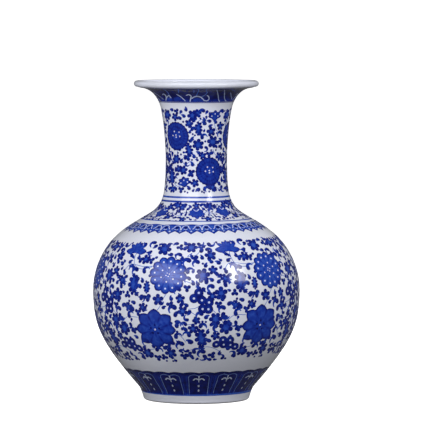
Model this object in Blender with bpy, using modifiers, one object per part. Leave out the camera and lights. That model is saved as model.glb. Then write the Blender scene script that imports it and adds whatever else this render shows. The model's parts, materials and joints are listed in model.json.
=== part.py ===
"""A long-necked, round-bellied porcelain vase, thrown in sections that are luted together with slip.

A turned foot ring carries four thrown sections: belly, shoulder, neck and mouth. Where two sections meet, the
lower one ends in an inner tongue and the upper one in an outer skirt, the rebate that a potter turns before
luting, and a bead of slip is pressed round the inside of every joint. The vase stands on its foot ring, with
its axis on +Z and the ground at zero. Metres throughout.
"""

import math
from itertools import accumulate

import bpy
from mathutils import Vector

# Heights of the stages of the outline, from the ground up.
FOOT_HEIGHT = 0.0105
HIP_RISE = 0.0065
LOWER_BELLY_RISE = 0.1075
UPPER_BELLY_RISE = 0.0685
NECK_BASE_RISE = 0.0790
NECK_RISE = 0.0616
FLARE_RISE = 0.0182
LIP_RISE = 0.0044

# Outer radii where those stages meet.
FOOT_GROUND_RADIUS = 0.0590
FOOT_TOP_RADIUS = 0.0625
HIP_RADIUS = 0.0665
BELLY_RADIUS = 0.1165
SHOULDER_RADIUS = 0.0805
NECK_RADIUS = 0.0345
COLLAR_RADIUS = 0.0415
FLARE_RADIUS = 0.0635

# Slope of the wall where the stages meet, in degrees from the vertical, outward positive.
FOOT_SLOPE = 18.0
HIP_SLOPE = 41.0
SHOULDER_SLOPE = -54.5
COLLAR_SLOPE = 20.0
FLARE_SLOPE = 86.0

# Fullness of each stage: the two handle lengths of its curve, as shares of its chord.
HIP_FULLNESS = (0.35, 0.35)
LOWER_BELLY_FULLNESS = (0.575, 0.310)
UPPER_BELLY_FULLNESS = (0.226, 0.459)
NECK_BASE_FULLNESS = (0.503, 0.717)
NECK_FULLNESS = (0.160, 0.240)
FLARE_FULLNESS = (0.360, 0.400)

# Clay: walls, floor, foot ring and the rolled lip, a bead whose round runs between two angles.
WALL = 0.0052
FLOOR_THICKNESS = 0.0060
FLOOR_FILLET = 0.0060
FOOT_RING_WIDTH = 0.0075
FOOT_EDGE_CHAMFER = 0.0012
LIP_BEAD_RADIUS = 0.0034
LIP_BEAD_START = -90.0
LIP_BEAD_END = 150.0

# Luted joints: where they are, how the sections overlap, and the slip bead inside.
NECK_JOINT_ABOVE_SHOULDER = 0.0330
MOUTH_JOINT_BELOW_FLARE = 0.0218
LUTE_GAP = 0.0003
REBATE = 0.0040
FLOOR_SPIGOT_DROP = 0.0015
LUTE_BEAD_LENGTH = 0.0070
LUTE_BEAD_THICKNESS = 0.0014

# Fineness of the turned shapes.
TURN_STEPS = 48
STATION_SPACING = 0.0100
CURVE_SAMPLES = 100
LIP_STATIONS = 8
MERGE_DISTANCE = 0.0001
SHARP_ANGLE = 35.0

# Colour and roughness of the clays.
GLAZED_WHITE = ((0.80, 0.82, 0.87, 1.0), 0.15)
BARE_CLAY = ((0.72, 0.68, 0.60, 1.0), 0.75)
DRIED_SLIP = ((0.76, 0.75, 0.72, 1.0), 0.60)

# Stages of the outline as (rise, radius at its end, slope at its end, fullness).
STAGES = (
    (HIP_RISE, HIP_RADIUS, HIP_SLOPE, HIP_FULLNESS),
    (LOWER_BELLY_RISE, BELLY_RADIUS, 0.0, LOWER_BELLY_FULLNESS),
    (UPPER_BELLY_RISE, SHOULDER_RADIUS, SHOULDER_SLOPE, UPPER_BELLY_FULLNESS),
    (NECK_BASE_RISE, NECK_RADIUS, 0.0, NECK_BASE_FULLNESS),
    (NECK_RISE, COLLAR_RADIUS, COLLAR_SLOPE, NECK_FULLNESS),
    (FLARE_RISE, FLARE_RADIUS, FLARE_SLOPE, FLARE_FULLNESS),
)


def heading(slope):
    """Unit direction, as (radius, height), of a wall that leans outward by slope degrees."""
    return Vector((math.sin(math.radians(slope)), math.cos(math.radians(slope))))


def curve_points(start, start_slope, end, end_slope, fullness):
    """Points of a cubic curve between two points with given wall slopes, its end left out."""
    chord = (end - start).length
    leave = start + heading(start_slope) * chord * fullness[0]
    arrive = end - heading(end_slope) * chord * fullness[1]
    for i in range(CURVE_SAMPLES):
        t = i / CURVE_SAMPLES
        u = 1 - t
        yield start * u**3 + leave * 3 * u * u * t + arrive * 3 * u * t * t + end * t**3


class Outline:
    """The outer face of the vase, from the top of the foot to the flare, measured by arc length."""

    def __init__(self):
        start = Vector((FOOT_TOP_RADIUS, FOOT_HEIGHT))
        slope = FOOT_SLOPE
        self.points = []
        for rise, radius, end_slope, fullness in STAGES:
            end = Vector((radius, start.y + rise))
            self.points += curve_points(start, slope, end, end_slope, fullness)
            start, slope = end, end_slope
        self.points.append(start)
        steps = [(b - a).length for a, b in zip(self.points, self.points[1:])]
        self.lengths = [0.0, *accumulate(steps)]

    def at_height(self, height):
        """Arc length where the outline, which always rises, first reaches a height."""
        return next(s for s, p in zip(self.lengths, self.points) if p.y >= height - 1e-9)

    def wall(self, length, depth=0.0):
        """The point at an arc length, sunk into the clay by a depth, as (radius, height)."""
        above = (i for i, s in enumerate(self.lengths) if s >= length and i > 0)
        i = next(above, len(self.lengths) - 1)
        along = (self.points[i] - self.points[i - 1]).normalized()
        inward = Vector((-along.y, along.x))
        return self.points[i - 1] + along * (length - self.lengths[i - 1]) + inward * depth

    def face(self, start, end, depth=0.0):
        """Evenly spaced points at one depth from one arc length to another, both ends included."""
        count = max(1, round(abs(end - start) / STATION_SPACING))
        return [self.wall(start + (end - start) * i / count, depth) for i in range(count + 1)]


OUTLINE = Outline()
SHOULDER_HEIGHT = FOOT_HEIGHT + HIP_RISE + LOWER_BELLY_RISE + UPPER_BELLY_RISE
FLARE_HEIGHT = SHOULDER_HEIGHT + NECK_BASE_RISE + NECK_RISE + FLARE_RISE
BELLY_JOINT = OUTLINE.at_height(FOOT_HEIGHT + HIP_RISE + LOWER_BELLY_RISE)
NECK_JOINT = OUTLINE.at_height(SHOULDER_HEIGHT + NECK_JOINT_ABOVE_SHOULDER)
MOUTH_JOINT = OUTLINE.at_height(FLARE_HEIGHT - MOUTH_JOINT_BELOW_FLARE)
HALF_GAP = LUTE_GAP / 2
HALF_WALL = WALL / 2


def tongue(joint):
    """Upper edge of the section below a joint, from its inner face out: the inner half stands proud."""
    return [
        OUTLINE.wall(joint + REBATE - HALF_GAP, HALF_WALL + HALF_GAP),
        OUTLINE.wall(joint - HALF_GAP, HALF_WALL + HALF_GAP),
    ]


def skirt(joint):
    """Lower edge of the section above a joint, from its outer face in: the outer half hangs down."""
    return [
        OUTLINE.wall(joint + HALF_GAP, HALF_WALL - HALF_GAP),
        OUTLINE.wall(joint + REBATE + HALF_GAP, HALF_WALL - HALF_GAP),
    ]


def tube_section(lower_joint, upper_joint):
    """Closed cross-section of a section open at both ends: down its outer face and up its inner one."""
    outer = OUTLINE.face(upper_joint - HALF_GAP, lower_joint + HALF_GAP)
    inner = OUTLINE.face(lower_joint + REBATE + HALF_GAP, upper_joint + REBATE - HALF_GAP, WALL)
    return outer + skirt(lower_joint) + inner + tongue(upper_joint)


def foot_face(height, inset=0.0):
    """Point at a height on the outer face of the foot, or on a parallel line inset from it."""
    lean = (FOOT_TOP_RADIUS - FOOT_GROUND_RADIUS) / FOOT_HEIGHT
    return Vector((FOOT_GROUND_RADIUS + lean * height - inset, height))


def foot_ring_section():
    """The ring that the vase stands on, with both lower edges taken off and a flat ground face."""
    top = FOOT_HEIGHT - LUTE_GAP
    return [
        foot_face(top),
        foot_face(FOOT_EDGE_CHAMFER),
        foot_face(0.0, FOOT_EDGE_CHAMFER),
        foot_face(0.0, FOOT_RING_WIDTH - FOOT_EDGE_CHAMFER),
        foot_face(FOOT_EDGE_CHAMFER, FOOT_RING_WIDTH),
        foot_face(top, FOOT_RING_WIDTH),
    ]


def belly_section():
    """The lower bowl of the belly: a closed floor with a spigot below that centres it in the foot ring."""
    floor_top = FOOT_HEIGHT + FLOOR_THICKNESS
    fillet_end = OUTLINE.at_height(floor_top + FLOOR_FILLET)
    fillet_top = OUTLINE.wall(fillet_end, WALL)
    inside = [Vector((0.0, floor_top)), Vector((fillet_top.x - FLOOR_FILLET, floor_top))]
    inside += OUTLINE.face(fillet_end, BELLY_JOINT + REBATE - HALF_GAP, WALL)
    outside = OUTLINE.face(BELLY_JOINT - HALF_GAP, 0.0)
    spigot_foot = FOOT_HEIGHT - FLOOR_SPIGOT_DROP
    underside = [
        foot_face(FOOT_HEIGHT, FOOT_RING_WIDTH + LUTE_GAP),
        foot_face(spigot_foot, FOOT_RING_WIDTH + LUTE_GAP),
        Vector((0.0, spigot_foot)),
    ]
    return inside + tongue(BELLY_JOINT) + outside + underside


def mouth_section():
    """The flared mouth with its rolled lip, a bead that the wall runs into on both sides."""
    flare_end = OUTLINE.lengths[-1]
    centre = Vector((FLARE_RADIUS, FLARE_HEIGHT)) + heading(FLARE_SLOPE) * LIP_BEAD_RADIUS
    centre.y = FLARE_HEIGHT + LIP_RISE
    lip = []
    for i in range(LIP_STATIONS + 1):
        angle = math.radians(LIP_BEAD_END + (LIP_BEAD_START - LIP_BEAD_END) * i / LIP_STATIONS)
        lip.append(centre + LIP_BEAD_RADIUS * Vector((math.cos(angle), math.sin(angle))))
    outer = OUTLINE.face(flare_end, MOUTH_JOINT + HALF_GAP)
    inner = OUTLINE.face(MOUTH_JOINT + REBATE + HALF_GAP, flare_end, WALL)
    return lip + outer + skirt(MOUTH_JOINT) + inner


def lute_section(joint):
    """A bead of slip on the inner face across a joint: flat on the wall and rounded on the open side."""
    middle = joint + REBATE / 2
    lay = WALL + LUTE_GAP
    proud = lay + LUTE_BEAD_THICKNESS
    return [
        OUTLINE.wall(middle + LUTE_BEAD_LENGTH / 2, lay),
        OUTLINE.wall(middle - LUTE_BEAD_LENGTH / 2, lay),
        OUTLINE.wall(middle - LUTE_BEAD_LENGTH / 4, proud),
        OUTLINE.wall(middle + LUTE_BEAD_LENGTH / 4, proud),
    ]


def foot_lute_section():
    """A bead of slip in the corner between the foot ring and the underside of the belly."""
    leg = LUTE_BEAD_LENGTH / 2
    lay = FOOT_RING_WIDTH + LUTE_GAP
    top = FOOT_HEIGHT - FLOOR_SPIGOT_DROP - LUTE_GAP
    return [foot_face(top, lay), foot_face(top - leg, lay), foot_face(top, lay + leg)]


def clay(name, look):
    """A Principled material with the colour and roughness of one of the clays."""
    colour, roughness = look
    made = bpy.data.materials.new(name)
    made.use_nodes = True
    shader = made.node_tree.nodes["Principled BSDF"]
    shader.inputs["Base Color"].default_value = colour
    shader.inputs["Roughness"].default_value = roughness
    shader.inputs["Metallic"].default_value = 0.0
    made.diffuse_color = colour
    return made


def turned(name, section, material, collection):
    """An object turned from a cross-section that goes down its outer face, closed unless it ends on the axis."""
    count = len(section)
    edges = [(i, i + 1) for i in range(count - 1)]
    if section[0].x > 0.0:
        edges.append((count - 1, 0))
    profile = bpy.data.meshes.new(name + "_profile")
    profile.from_pydata([(p.x, 0.0, p.y) for p in section], edges, [])
    turning = bpy.data.objects.new(name, profile)
    collection.objects.link(turning)
    screw = turning.modifiers.new("Turn", "SCREW")
    screw.axis = "Z"
    screw.angle = math.tau
    screw.steps = TURN_STEPS
    screw.render_steps = TURN_STEPS
    screw.use_merge_vertices = True
    screw.merge_threshold = MERGE_DISTANCE
    turned_mesh = bpy.data.meshes.new_from_object(turning.evaluated_get(bpy.context.evaluated_depsgraph_get()))
    turned_mesh.name = name
    turned_mesh.materials.append(material)
    turned_mesh.shade_smooth()
    turned_mesh.set_sharp_from_angle(angle=math.radians(SHARP_ANGLE))
    turning.modifiers.clear()
    turning.data = turned_mesh
    bpy.data.meshes.remove(profile)
    return turning


def main():
    for old in list(bpy.data.objects):
        bpy.data.objects.remove(old)
    vase = bpy.data.collections.new("porcelain_vase")
    bpy.context.scene.collection.children.link(vase)

    glazed = clay("glazed_white_porcelain", GLAZED_WHITE)
    bare = clay("bare_foot_clay", BARE_CLAY)
    slip = clay("dried_luting_slip", DRIED_SLIP)

    turned("foot_ring", foot_ring_section(), bare, vase)
    turned("belly_section", belly_section(), glazed, vase)
    turned("shoulder_section", tube_section(BELLY_JOINT, NECK_JOINT), glazed, vase)
    turned("neck_section", tube_section(NECK_JOINT, MOUTH_JOINT), glazed, vase)
    turned("mouth_section", mouth_section(), glazed, vase)
    turned("foot_lute", foot_lute_section(), slip, vase)
    turned("belly_lute", lute_section(BELLY_JOINT), slip, vase)
    turned("neck_lute", lute_section(NECK_JOINT), slip, vase)
    turned("mouth_lute", lute_section(MOUTH_JOINT), slip, vase)


main()
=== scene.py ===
# %% [markdown]
# # A blue-and-white porcelain bottle vase
# The vase is thrown in sections, luted together, painted with cobalt and covered by one clear glaze. This
# lesson follows that order: the clay sections, the slip in their joints, then the painting. The belly scroll
# is painted first; the foot lappets, the ruled lines and the bands above the belly follow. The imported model
# gives the sizes, so it is loaded first.

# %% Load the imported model
import json
import math
import random
from itertools import accumulate

import bmesh
import bpy
import numpy as np
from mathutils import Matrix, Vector

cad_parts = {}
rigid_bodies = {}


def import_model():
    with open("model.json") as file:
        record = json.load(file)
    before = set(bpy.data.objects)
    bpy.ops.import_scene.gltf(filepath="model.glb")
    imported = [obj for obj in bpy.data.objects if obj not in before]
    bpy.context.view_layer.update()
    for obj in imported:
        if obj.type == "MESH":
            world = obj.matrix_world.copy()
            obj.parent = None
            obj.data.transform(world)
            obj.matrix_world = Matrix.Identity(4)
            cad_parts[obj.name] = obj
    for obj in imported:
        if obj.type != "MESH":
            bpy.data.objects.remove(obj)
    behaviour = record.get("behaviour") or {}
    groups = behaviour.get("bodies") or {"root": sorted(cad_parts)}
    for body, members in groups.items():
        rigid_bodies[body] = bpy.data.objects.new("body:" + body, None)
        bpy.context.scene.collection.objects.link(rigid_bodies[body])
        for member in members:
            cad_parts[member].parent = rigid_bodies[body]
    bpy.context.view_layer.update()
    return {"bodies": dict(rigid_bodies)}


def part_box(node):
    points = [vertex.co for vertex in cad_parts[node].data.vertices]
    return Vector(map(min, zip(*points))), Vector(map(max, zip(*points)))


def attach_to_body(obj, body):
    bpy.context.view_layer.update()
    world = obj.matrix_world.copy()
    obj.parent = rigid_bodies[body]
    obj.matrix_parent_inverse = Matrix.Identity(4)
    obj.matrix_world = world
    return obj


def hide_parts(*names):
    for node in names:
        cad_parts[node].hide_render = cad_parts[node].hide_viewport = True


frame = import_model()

BODY = "root" if "root" in frame["bodies"] else sorted(frame["bodies"])[0]
MM = 0.001

# %% [markdown]
# ## The outline of the vase
# Everything on a thrown vase follows one line, the outer face seen from the side. Its radii are read from
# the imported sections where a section's box shows them; the rest repeat the design. The line is a chain of
# cubic curves, each given by the slope of the wall at its two ends and by how full it is. Measured by its
# arc length, it tells any brush stroke where the clay is.

# %% The outline as a chain of curves
foot_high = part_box("foot_ring")[1]
belly_low, belly_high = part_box("belly_section")
mouth_low, mouth_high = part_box("mouth_section")
JOINT_GAP = 0.3 * MM
FOOT_HEIGHT = foot_high.z + JOINT_GAP
FOOT_GROUND_RADIUS = 59.0 * MM
FOOT_TOP_RADIUS = 62.5 * MM
FOOT_SLOPE = 18.0
BELLY_RADIUS = belly_high.x
FLARE_RADIUS = 63.5 * MM
FLARE_SLOPE = 86.0
LIP_ROUND = 3.4 * MM
LIP_CENTRE = Vector((mouth_high.x - LIP_ROUND, mouth_high.z - LIP_ROUND))
WALL = 5.2 * MM
STAGE_SAMPLES = 120

# rise, radius, slope in degrees from the vertical, and the two handle shares
STAGES = (
    (6.5 * MM, 66.5 * MM, 41.0, (0.35, 0.35)),
    (107.5 * MM, BELLY_RADIUS, 0.0, (0.575, 0.310)),
    (68.5 * MM, 80.5 * MM, -54.5, (0.226, 0.459)),
    (79.0 * MM, 34.5 * MM, 0.0, (0.503, 0.717)),
    (61.6 * MM, 41.5 * MM, 20.0, (0.160, 0.240)),
    (18.2 * MM, FLARE_RADIUS, FLARE_SLOPE, (0.360, 0.400)),
)


def heading(slope):
    return Vector((math.sin(math.radians(slope)), math.cos(math.radians(slope))))


def outline_points():
    start, slope = Vector((FOOT_TOP_RADIUS, FOOT_HEIGHT)), FOOT_SLOPE
    for rise, radius, end_slope, share in STAGES:
        end = Vector((radius, start.y + rise))
        chord = (end - start).length
        leave = start + heading(slope) * chord * share[0]
        arrive = end - heading(end_slope) * chord * share[1]
        for i in range(STAGE_SAMPLES):
            t = i / STAGE_SAMPLES
            u = 1 - t
            yield start * u**3 + leave * 3 * u * u * t + arrive * 3 * u * t * t + end * t**3
        start, slope = end, end_slope
    yield start


POINTS = list(outline_points())
LENGTHS = [0.0, *accumulate((b - a).length for a, b in zip(POINTS, POINTS[1:]))]
HEIGHTS = [p.y for p in POINTS]


def wall(length, depth=0.0):
    """The point at an arc length, sunk into the clay by a depth, as (radius, height)."""
    i = min(max(int(np.searchsorted(LENGTHS, length)), 1), len(LENGTHS) - 1)
    along = (POINTS[i] - POINTS[i - 1]).normalized()
    return POINTS[i - 1] + along * (length - LENGTHS[i - 1]) + Vector((-along.y, along.x)) * depth


def length_at(height):
    return float(np.interp(height, HEIGHTS, LENGTHS))


print("outline", round(LENGTHS[-1] / MM, 1), "mm long, top of the curve", round(HEIGHTS[-1] / MM, 1))

# %% [markdown]
# ## The finishes
# All the porcelain shares one glaze: a clear, hard gloss over a cool white body. The cobalt lies under that
# same glaze, so its material is the same one with a darker body, and a highlight runs across both unbroken.
# How much cobalt the brush left is stored on the mesh as the attribute `pigment`, from 0 (bare white) to 1
# (nearly black). A colour ramp turns it into paint, and noise on Object coordinates breaks it up as a real
# wash does.

# %% Shared pieces of the materials
GLAZE_ROUGHNESS = 0.16
GLAZE_IOR = 1.5
GLAZE_SPECULAR = 0.25
COAT_WEIGHT = 0.35
COAT_ROUGHNESS = 0.11
RIPPLES_PER_METRE = 55.0
PEEL_PER_METRE = 900.0
PEEL_SHARE = 0.06
RIPPLE_STRENGTH = 0.12
RIPPLE_DEPTH = 0.0006
WHITE_BODY = (0.760, 0.783, 0.890, 1.0)


def placed(name, data):
    """A new object in the scene that shows this data."""
    obj = bpy.data.objects.new(name, data)
    bpy.context.scene.collection.objects.link(obj)
    return obj


def new_material(name, roughness):
    made = bpy.data.materials.new(name)
    made.use_nodes = True
    shader = made.node_tree.nodes["Principled BSDF"]
    shader.inputs["Roughness"].default_value = roughness
    shader.inputs["IOR"].default_value = GLAZE_IOR
    return made, made.node_tree, shader


def add(tree, kind, **values):
    """Adds a node to a tree. A value named for a socket sets that socket, and any other sets a property."""
    node = tree.nodes.new(kind)
    for name, value in values.items():
        socket = node.inputs.get(name.replace("_", " "))
        if socket is not None and hasattr(socket, "default_value"):
            socket.default_value = value
        else:
            setattr(node, name, value)
    return node


def noise(tree, scale, detail=3.0, stretch=(1.0, 1.0, 1.0)):
    """Noise on Object coordinates, in features per metre, with an optional stretch by axis."""
    place = add(tree, "ShaderNodeTexCoord")
    mapping = add(tree, "ShaderNodeMapping")
    mapping.inputs["Scale"].default_value = stretch
    tree.links.new(place.outputs["Object"], mapping.inputs["Vector"])
    grain = add(tree, "ShaderNodeTexNoise", Scale=scale, Detail=detail)
    tree.links.new(mapping.outputs["Vector"], grain.inputs["Vector"])
    return grain


def ramp(tree, stops):
    node = add(tree, "ShaderNodeValToRGB")
    line = node.color_ramp
    while len(line.elements) < len(stops):
        line.elements.new(0.5)
    for element, (place, colour) in zip(line.elements, stops):
        element.position = place
        element.color = colour
    return node


def glaze_surface(tree, shader):
    """The surface of the glaze: a clear coat over a softer gloss, faintly wavy as a fired glaze is."""
    shader.inputs["Specular IOR Level"].default_value = GLAZE_SPECULAR
    shader.inputs["Coat Weight"].default_value = COAT_WEIGHT
    shader.inputs["Coat Roughness"].default_value = COAT_ROUGHNESS
    shader.inputs["Coat IOR"].default_value = GLAZE_IOR
    ripple = noise(tree, RIPPLES_PER_METRE, 2.0)
    peel = noise(tree, PEEL_PER_METRE, 2.0)
    both = add(tree, "ShaderNodeMath", operation="MULTIPLY_ADD")
    tree.links.new(peel.outputs["Fac"], both.inputs[0])
    both.inputs[1].default_value = PEEL_SHARE
    tree.links.new(ripple.outputs["Fac"], both.inputs[2])
    bump = add(tree, "ShaderNodeBump", Strength=RIPPLE_STRENGTH, Distance=RIPPLE_DEPTH)
    tree.links.new(both.outputs[0], bump.inputs["Height"])
    tree.links.new(bump.outputs["Normal"], shader.inputs["Normal"])
    tree.links.new(bump.outputs["Normal"], shader.inputs["Coat Normal"])


# %% White glazed body
def make_white_glaze():
    made, tree, shader = new_material("white_glaze_over_porcelain", GLAZE_ROUGHNESS)
    cloud = noise(tree, 14.0, 3.0)
    tint = ramp(tree, [(0.30, (0.735, 0.762, 0.875, 1.0)), (0.70, (0.775, 0.798, 0.900, 1.0))])
    tree.links.new(cloud.outputs["Fac"], tint.inputs["Fac"])
    pits = noise(tree, 650.0, 1.0)
    specks = ramp(tree, [(0.70, (1.0, 1.0, 1.0, 1.0)), (0.80, (0.90, 0.89, 0.88, 1.0))])
    tree.links.new(pits.outputs["Fac"], specks.inputs["Fac"])
    mix = add(tree, "ShaderNodeMix", data_type="RGBA", blend_type="MULTIPLY")
    mix.inputs["Factor"].default_value = 1.0
    tree.links.new(tint.outputs["Color"], mix.inputs["A"])
    tree.links.new(specks.outputs["Color"], mix.inputs["B"])
    tree.links.new(mix.outputs["Result"], shader.inputs["Base Color"])
    glaze_surface(tree, shader)
    return made


WHITE_GLAZE = make_white_glaze()
print("made", WHITE_GLAZE.name)

# %% [markdown]
# ## Turning the clay on the wheel
# A thrown wall is one cross-section swept round the axis. Geometry Nodes does that sweep: the cross-section
# is a closed line drawn as (radius, -height), and Curve to Mesh carries it round a very small circle.
# Because both the line and the circle are closed, the wall comes out closed, with no seam to weld.

# %% A node tree that turns a closed cross-section
HUB = 0.5 * MM
KEEP_SHARP = math.radians(40.0)


def new_tree(name, inputs):
    """A Geometry Nodes tree with a geometry in and out, and named inputs as (name, socket kind, default)."""
    tree = bpy.data.node_groups.new(name, "GeometryNodeTree")
    tree.interface.new_socket("Geometry", in_out="INPUT", socket_type="NodeSocketGeometry")
    for label, kind, default in inputs:
        socket = tree.interface.new_socket(label, in_out="INPUT", socket_type=kind)
        if default is not None:
            socket.default_value = default
    tree.interface.new_socket("Geometry", in_out="OUTPUT", socket_type="NodeSocketGeometry")
    return tree, tree.nodes.new("NodeGroupInput"), tree.nodes.new("NodeGroupOutput")


def make_turning_tree():
    tree, given, result = new_tree("turn_on_the_wheel", [
        ("Steps", "NodeSocketInt", 256),
        ("Hub", "NodeSocketFloat", HUB),
        ("Material", "NodeSocketMaterial", None),
    ])
    link = tree.links.new
    line = add(tree, "GeometryNodeMeshToCurve")
    link(given.outputs["Geometry"], line.inputs["Mesh"])
    wheel = add(tree, "GeometryNodeCurvePrimitiveCircle")
    link(given.outputs["Steps"], wheel.inputs["Resolution"])
    link(given.outputs["Hub"], wheel.inputs["Radius"])
    sweep = add(tree, "GeometryNodeCurveToMesh")
    link(wheel.outputs["Curve"], sweep.inputs["Curve"])
    link(line.outputs["Curve"], sweep.inputs["Profile Curve"])
    real = add(tree, "GeometryNodeRealizeInstances")
    link(sweep.outputs["Mesh"], real.inputs["Geometry"])
    paint = add(tree, "GeometryNodeSetMaterial")
    link(real.outputs["Geometry"], paint.inputs["Geometry"])
    link(given.outputs["Material"], paint.inputs["Material"])
    link(paint.outputs["Geometry"], result.inputs["Geometry"])
    return tree


def attach(obj, tree, values):
    """Puts a tree on an object as a modifier and sets its named inputs by their identifiers."""
    modifier = obj.modifiers.new(tree.name, "NODES")
    modifier.node_group = tree
    sockets = {s.name: s.identifier for s in tree.interface.items_tree if s.in_out == "INPUT"}
    for name, value in values.items():
        modifier[sockets[name]] = value


def plain_mesh(obj):
    """The object's evaluated mesh, as data of its own, with the object removed."""
    graph = bpy.context.evaluated_depsgraph_get()
    mesh = bpy.data.meshes.new_from_object(obj.evaluated_get(graph), depsgraph=graph)
    bpy.data.objects.remove(obj)
    return mesh


def keep(name, mesh, slot, *nodes):
    """Makes a finished piece of a mesh: it rides on the vase and stands for the nodes that are named."""
    mesh.name = name
    piece = placed(name, mesh)
    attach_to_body(piece, BODY)
    if nodes:
        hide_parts(*nodes)
    print(name, len(mesh.polygons), "faces")
    return piece


TURNING = make_turning_tree()


def close_poles(mesh):
    """Welds a section's ends on the axis into single points and turns every face outward."""
    work = bmesh.new()
    work.from_mesh(mesh)
    bmesh.ops.remove_doubles(work, verts=work.verts, dist=0.02 * MM)
    bmesh.ops.recalc_face_normals(work, faces=work.faces)
    work.to_mesh(mesh)
    work.free()


def turned(name, section, material, slot, *nodes, steps=256):
    """A piece turned from a closed section of (radius, height) points that runs down its outer face."""
    count = len(section)
    line = bpy.data.meshes.new(name + "_line")
    edges = [(i, (i + 1) % count) for i in range(count)]
    line.from_pydata([(r - HUB, -z, 0.0) for r, z in section], edges, [])
    obj = placed(name + "_line", line)
    attach(obj, TURNING, {"Steps": steps, "Hub": HUB, "Material": material})
    mesh = plain_mesh(obj)
    close_poles(mesh)
    mesh.shade_smooth()
    mesh.set_sharp_from_angle(angle=KEEP_SHARP)
    return keep(name, mesh, slot, *nodes)

# %% [markdown]
# ## The clay sections
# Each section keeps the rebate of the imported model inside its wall: an inner tongue on the lower one and an
# outer skirt on the upper one. On the outside the two faces meet exactly, because the glaze has run over the
# joint. An extra station stands close beside each joint, so that the smooth shading of the two pieces agrees.

# %% Stations along the wall
OUTER_SPACING = 1.6 * MM
INNER_SPACING = 3.0 * MM
END_STATION = 0.15 * MM
HALF_WALL = WALL / 2
HALF_GAP = JOINT_GAP / 2
REBATE = 4.0 * MM


def face(start, end, depth, spacing):
    """Points at one depth from one arc length to another, with an extra station beside each end."""
    count = max(1, round(abs(end - start) / spacing))
    stations = [start + (end - start) * i / count for i in range(count + 1)]
    step = math.copysign(END_STATION, end - start)
    stations[1:1] = [start + step]
    stations[-1:-1] = [end - step]
    return [wall(s, depth) for s in stations]


def tongue(joint):
    depth = HALF_WALL + HALF_GAP
    return [wall(joint + REBATE - HALF_GAP, depth), wall(joint - HALF_GAP, depth)]


def skirt(joint):
    depth = HALF_WALL - HALF_GAP
    return [wall(joint + HALF_GAP, depth), wall(joint + REBATE + HALF_GAP, depth)]


def arc(centre, radius, first, last, steps):
    """Points round part of a circle, from one angle to another in degrees."""
    for i in range(steps + 1):
        angle = math.radians(first + (last - first) * i / steps)
        yield centre + radius * Vector((math.cos(angle), math.sin(angle)))


BELLY_JOINT = length_at(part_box("shoulder_section")[0].z - HALF_GAP)
NECK_JOINT = length_at(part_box("neck_section")[0].z - HALF_GAP)
MOUTH_JOINT = length_at(mouth_low.z - HALF_GAP)
print("joints at", [round(s / MM, 1) for s in (BELLY_JOINT, NECK_JOINT, MOUTH_JOINT)], "mm along the wall")

# %% Belly, shoulder and neck
FLOOR_TOP = FOOT_HEIGHT + 6.0 * MM
FLOOR_FILLET = 7.0 * MM
SPIGOT_DROP = FOOT_HEIGHT - belly_low.z
FOOT_WALL = 7.5 * MM


def foot_face(height, inset=0.0):
    lean = (FOOT_TOP_RADIUS - FOOT_GROUND_RADIUS) / FOOT_HEIGHT
    return Vector((FOOT_GROUND_RADIUS + lean * height - inset, height))


def belly_line():
    """The bowl of the belly, from the middle of its floor up the inside and down the outside."""
    rise = length_at(FLOOR_TOP + FLOOR_FILLET)
    corner = wall(rise, WALL) + Vector((-FLOOR_FILLET, 0.0))
    floor = [Vector((corner.x * i / 9, FLOOR_TOP)) for i in range(9)]
    inside = face(rise, BELLY_JOINT + REBATE - HALF_GAP, WALL, INNER_SPACING)
    outside = face(BELLY_JOINT, 0.0, 0.0, OUTER_SPACING)
    bottom = FOOT_HEIGHT - SPIGOT_DROP
    under = [foot_face(FOOT_HEIGHT, FOOT_WALL + JOINT_GAP), foot_face(bottom, FOOT_WALL + JOINT_GAP)]
    under += [Vector((under[-1].x * (1 - i / 8), bottom)) for i in range(1, 9)]
    fillet = list(arc(corner, FLOOR_FILLET, -90.0, -20.0, 6))
    return floor + fillet + inside + tongue(BELLY_JOINT) + outside + under


def tube_line(lower, upper):
    outside = face(upper, lower, 0.0, OUTER_SPACING)
    inside = face(lower + REBATE + HALF_GAP, upper + REBATE - HALF_GAP, WALL, INNER_SPACING)
    return outside + skirt(lower) + inside + tongue(upper)


turned("belly_wall", belly_line(), WHITE_GLAZE, "glazed_porcelain", "belly_section")
SHOULDER_LINE = tube_line(BELLY_JOINT, NECK_JOINT)
turned("shoulder_wall", SHOULDER_LINE, WHITE_GLAZE, "glazed_porcelain", "shoulder_section")
turned("neck_wall", tube_line(NECK_JOINT, MOUTH_JOINT), WHITE_GLAZE, "glazed_porcelain", "neck_section")

# %% [markdown]
# ## Mouth and rolled lip
# The potter rolls the rim outward into a bead, which stops the thin flare from warping and catches the
# light as a pale ring. The wall runs into the bead on both sides.

# %% Mouth
def mouth_line():
    end = LENGTHS[-1]
    lip = list(arc(LIP_CENTRE, LIP_ROUND, 168.0, -92.0, 26))
    outside = face(end, MOUTH_JOINT, 0.0, OUTER_SPACING / 2)
    inside = face(MOUTH_JOINT + REBATE + HALF_GAP, end, WALL, OUTER_SPACING)
    return lip + outside + skirt(MOUTH_JOINT) + inside


turned("mouth_wall", mouth_line(), WHITE_GLAZE, "glazed_porcelain", "mouth_section")

# %% [markdown]
# ## The foot ring
# The foot is turned from leather-hard clay. It is glazed outside, and the ground face is wiped clean so
# that it doesn't stick to the kiln shelf, which leaves a bare band of fine, slightly warm clay. One
# material holds both: height above the ground, broken up by noise, says where the glaze stops.

# %% Foot ring and its glaze line
FOOT_ROUND_OUT = 3.4 * MM
FOOT_ROUND_IN = 1.4 * MM
GLAZE_LINE = 1.1 * MM


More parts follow.
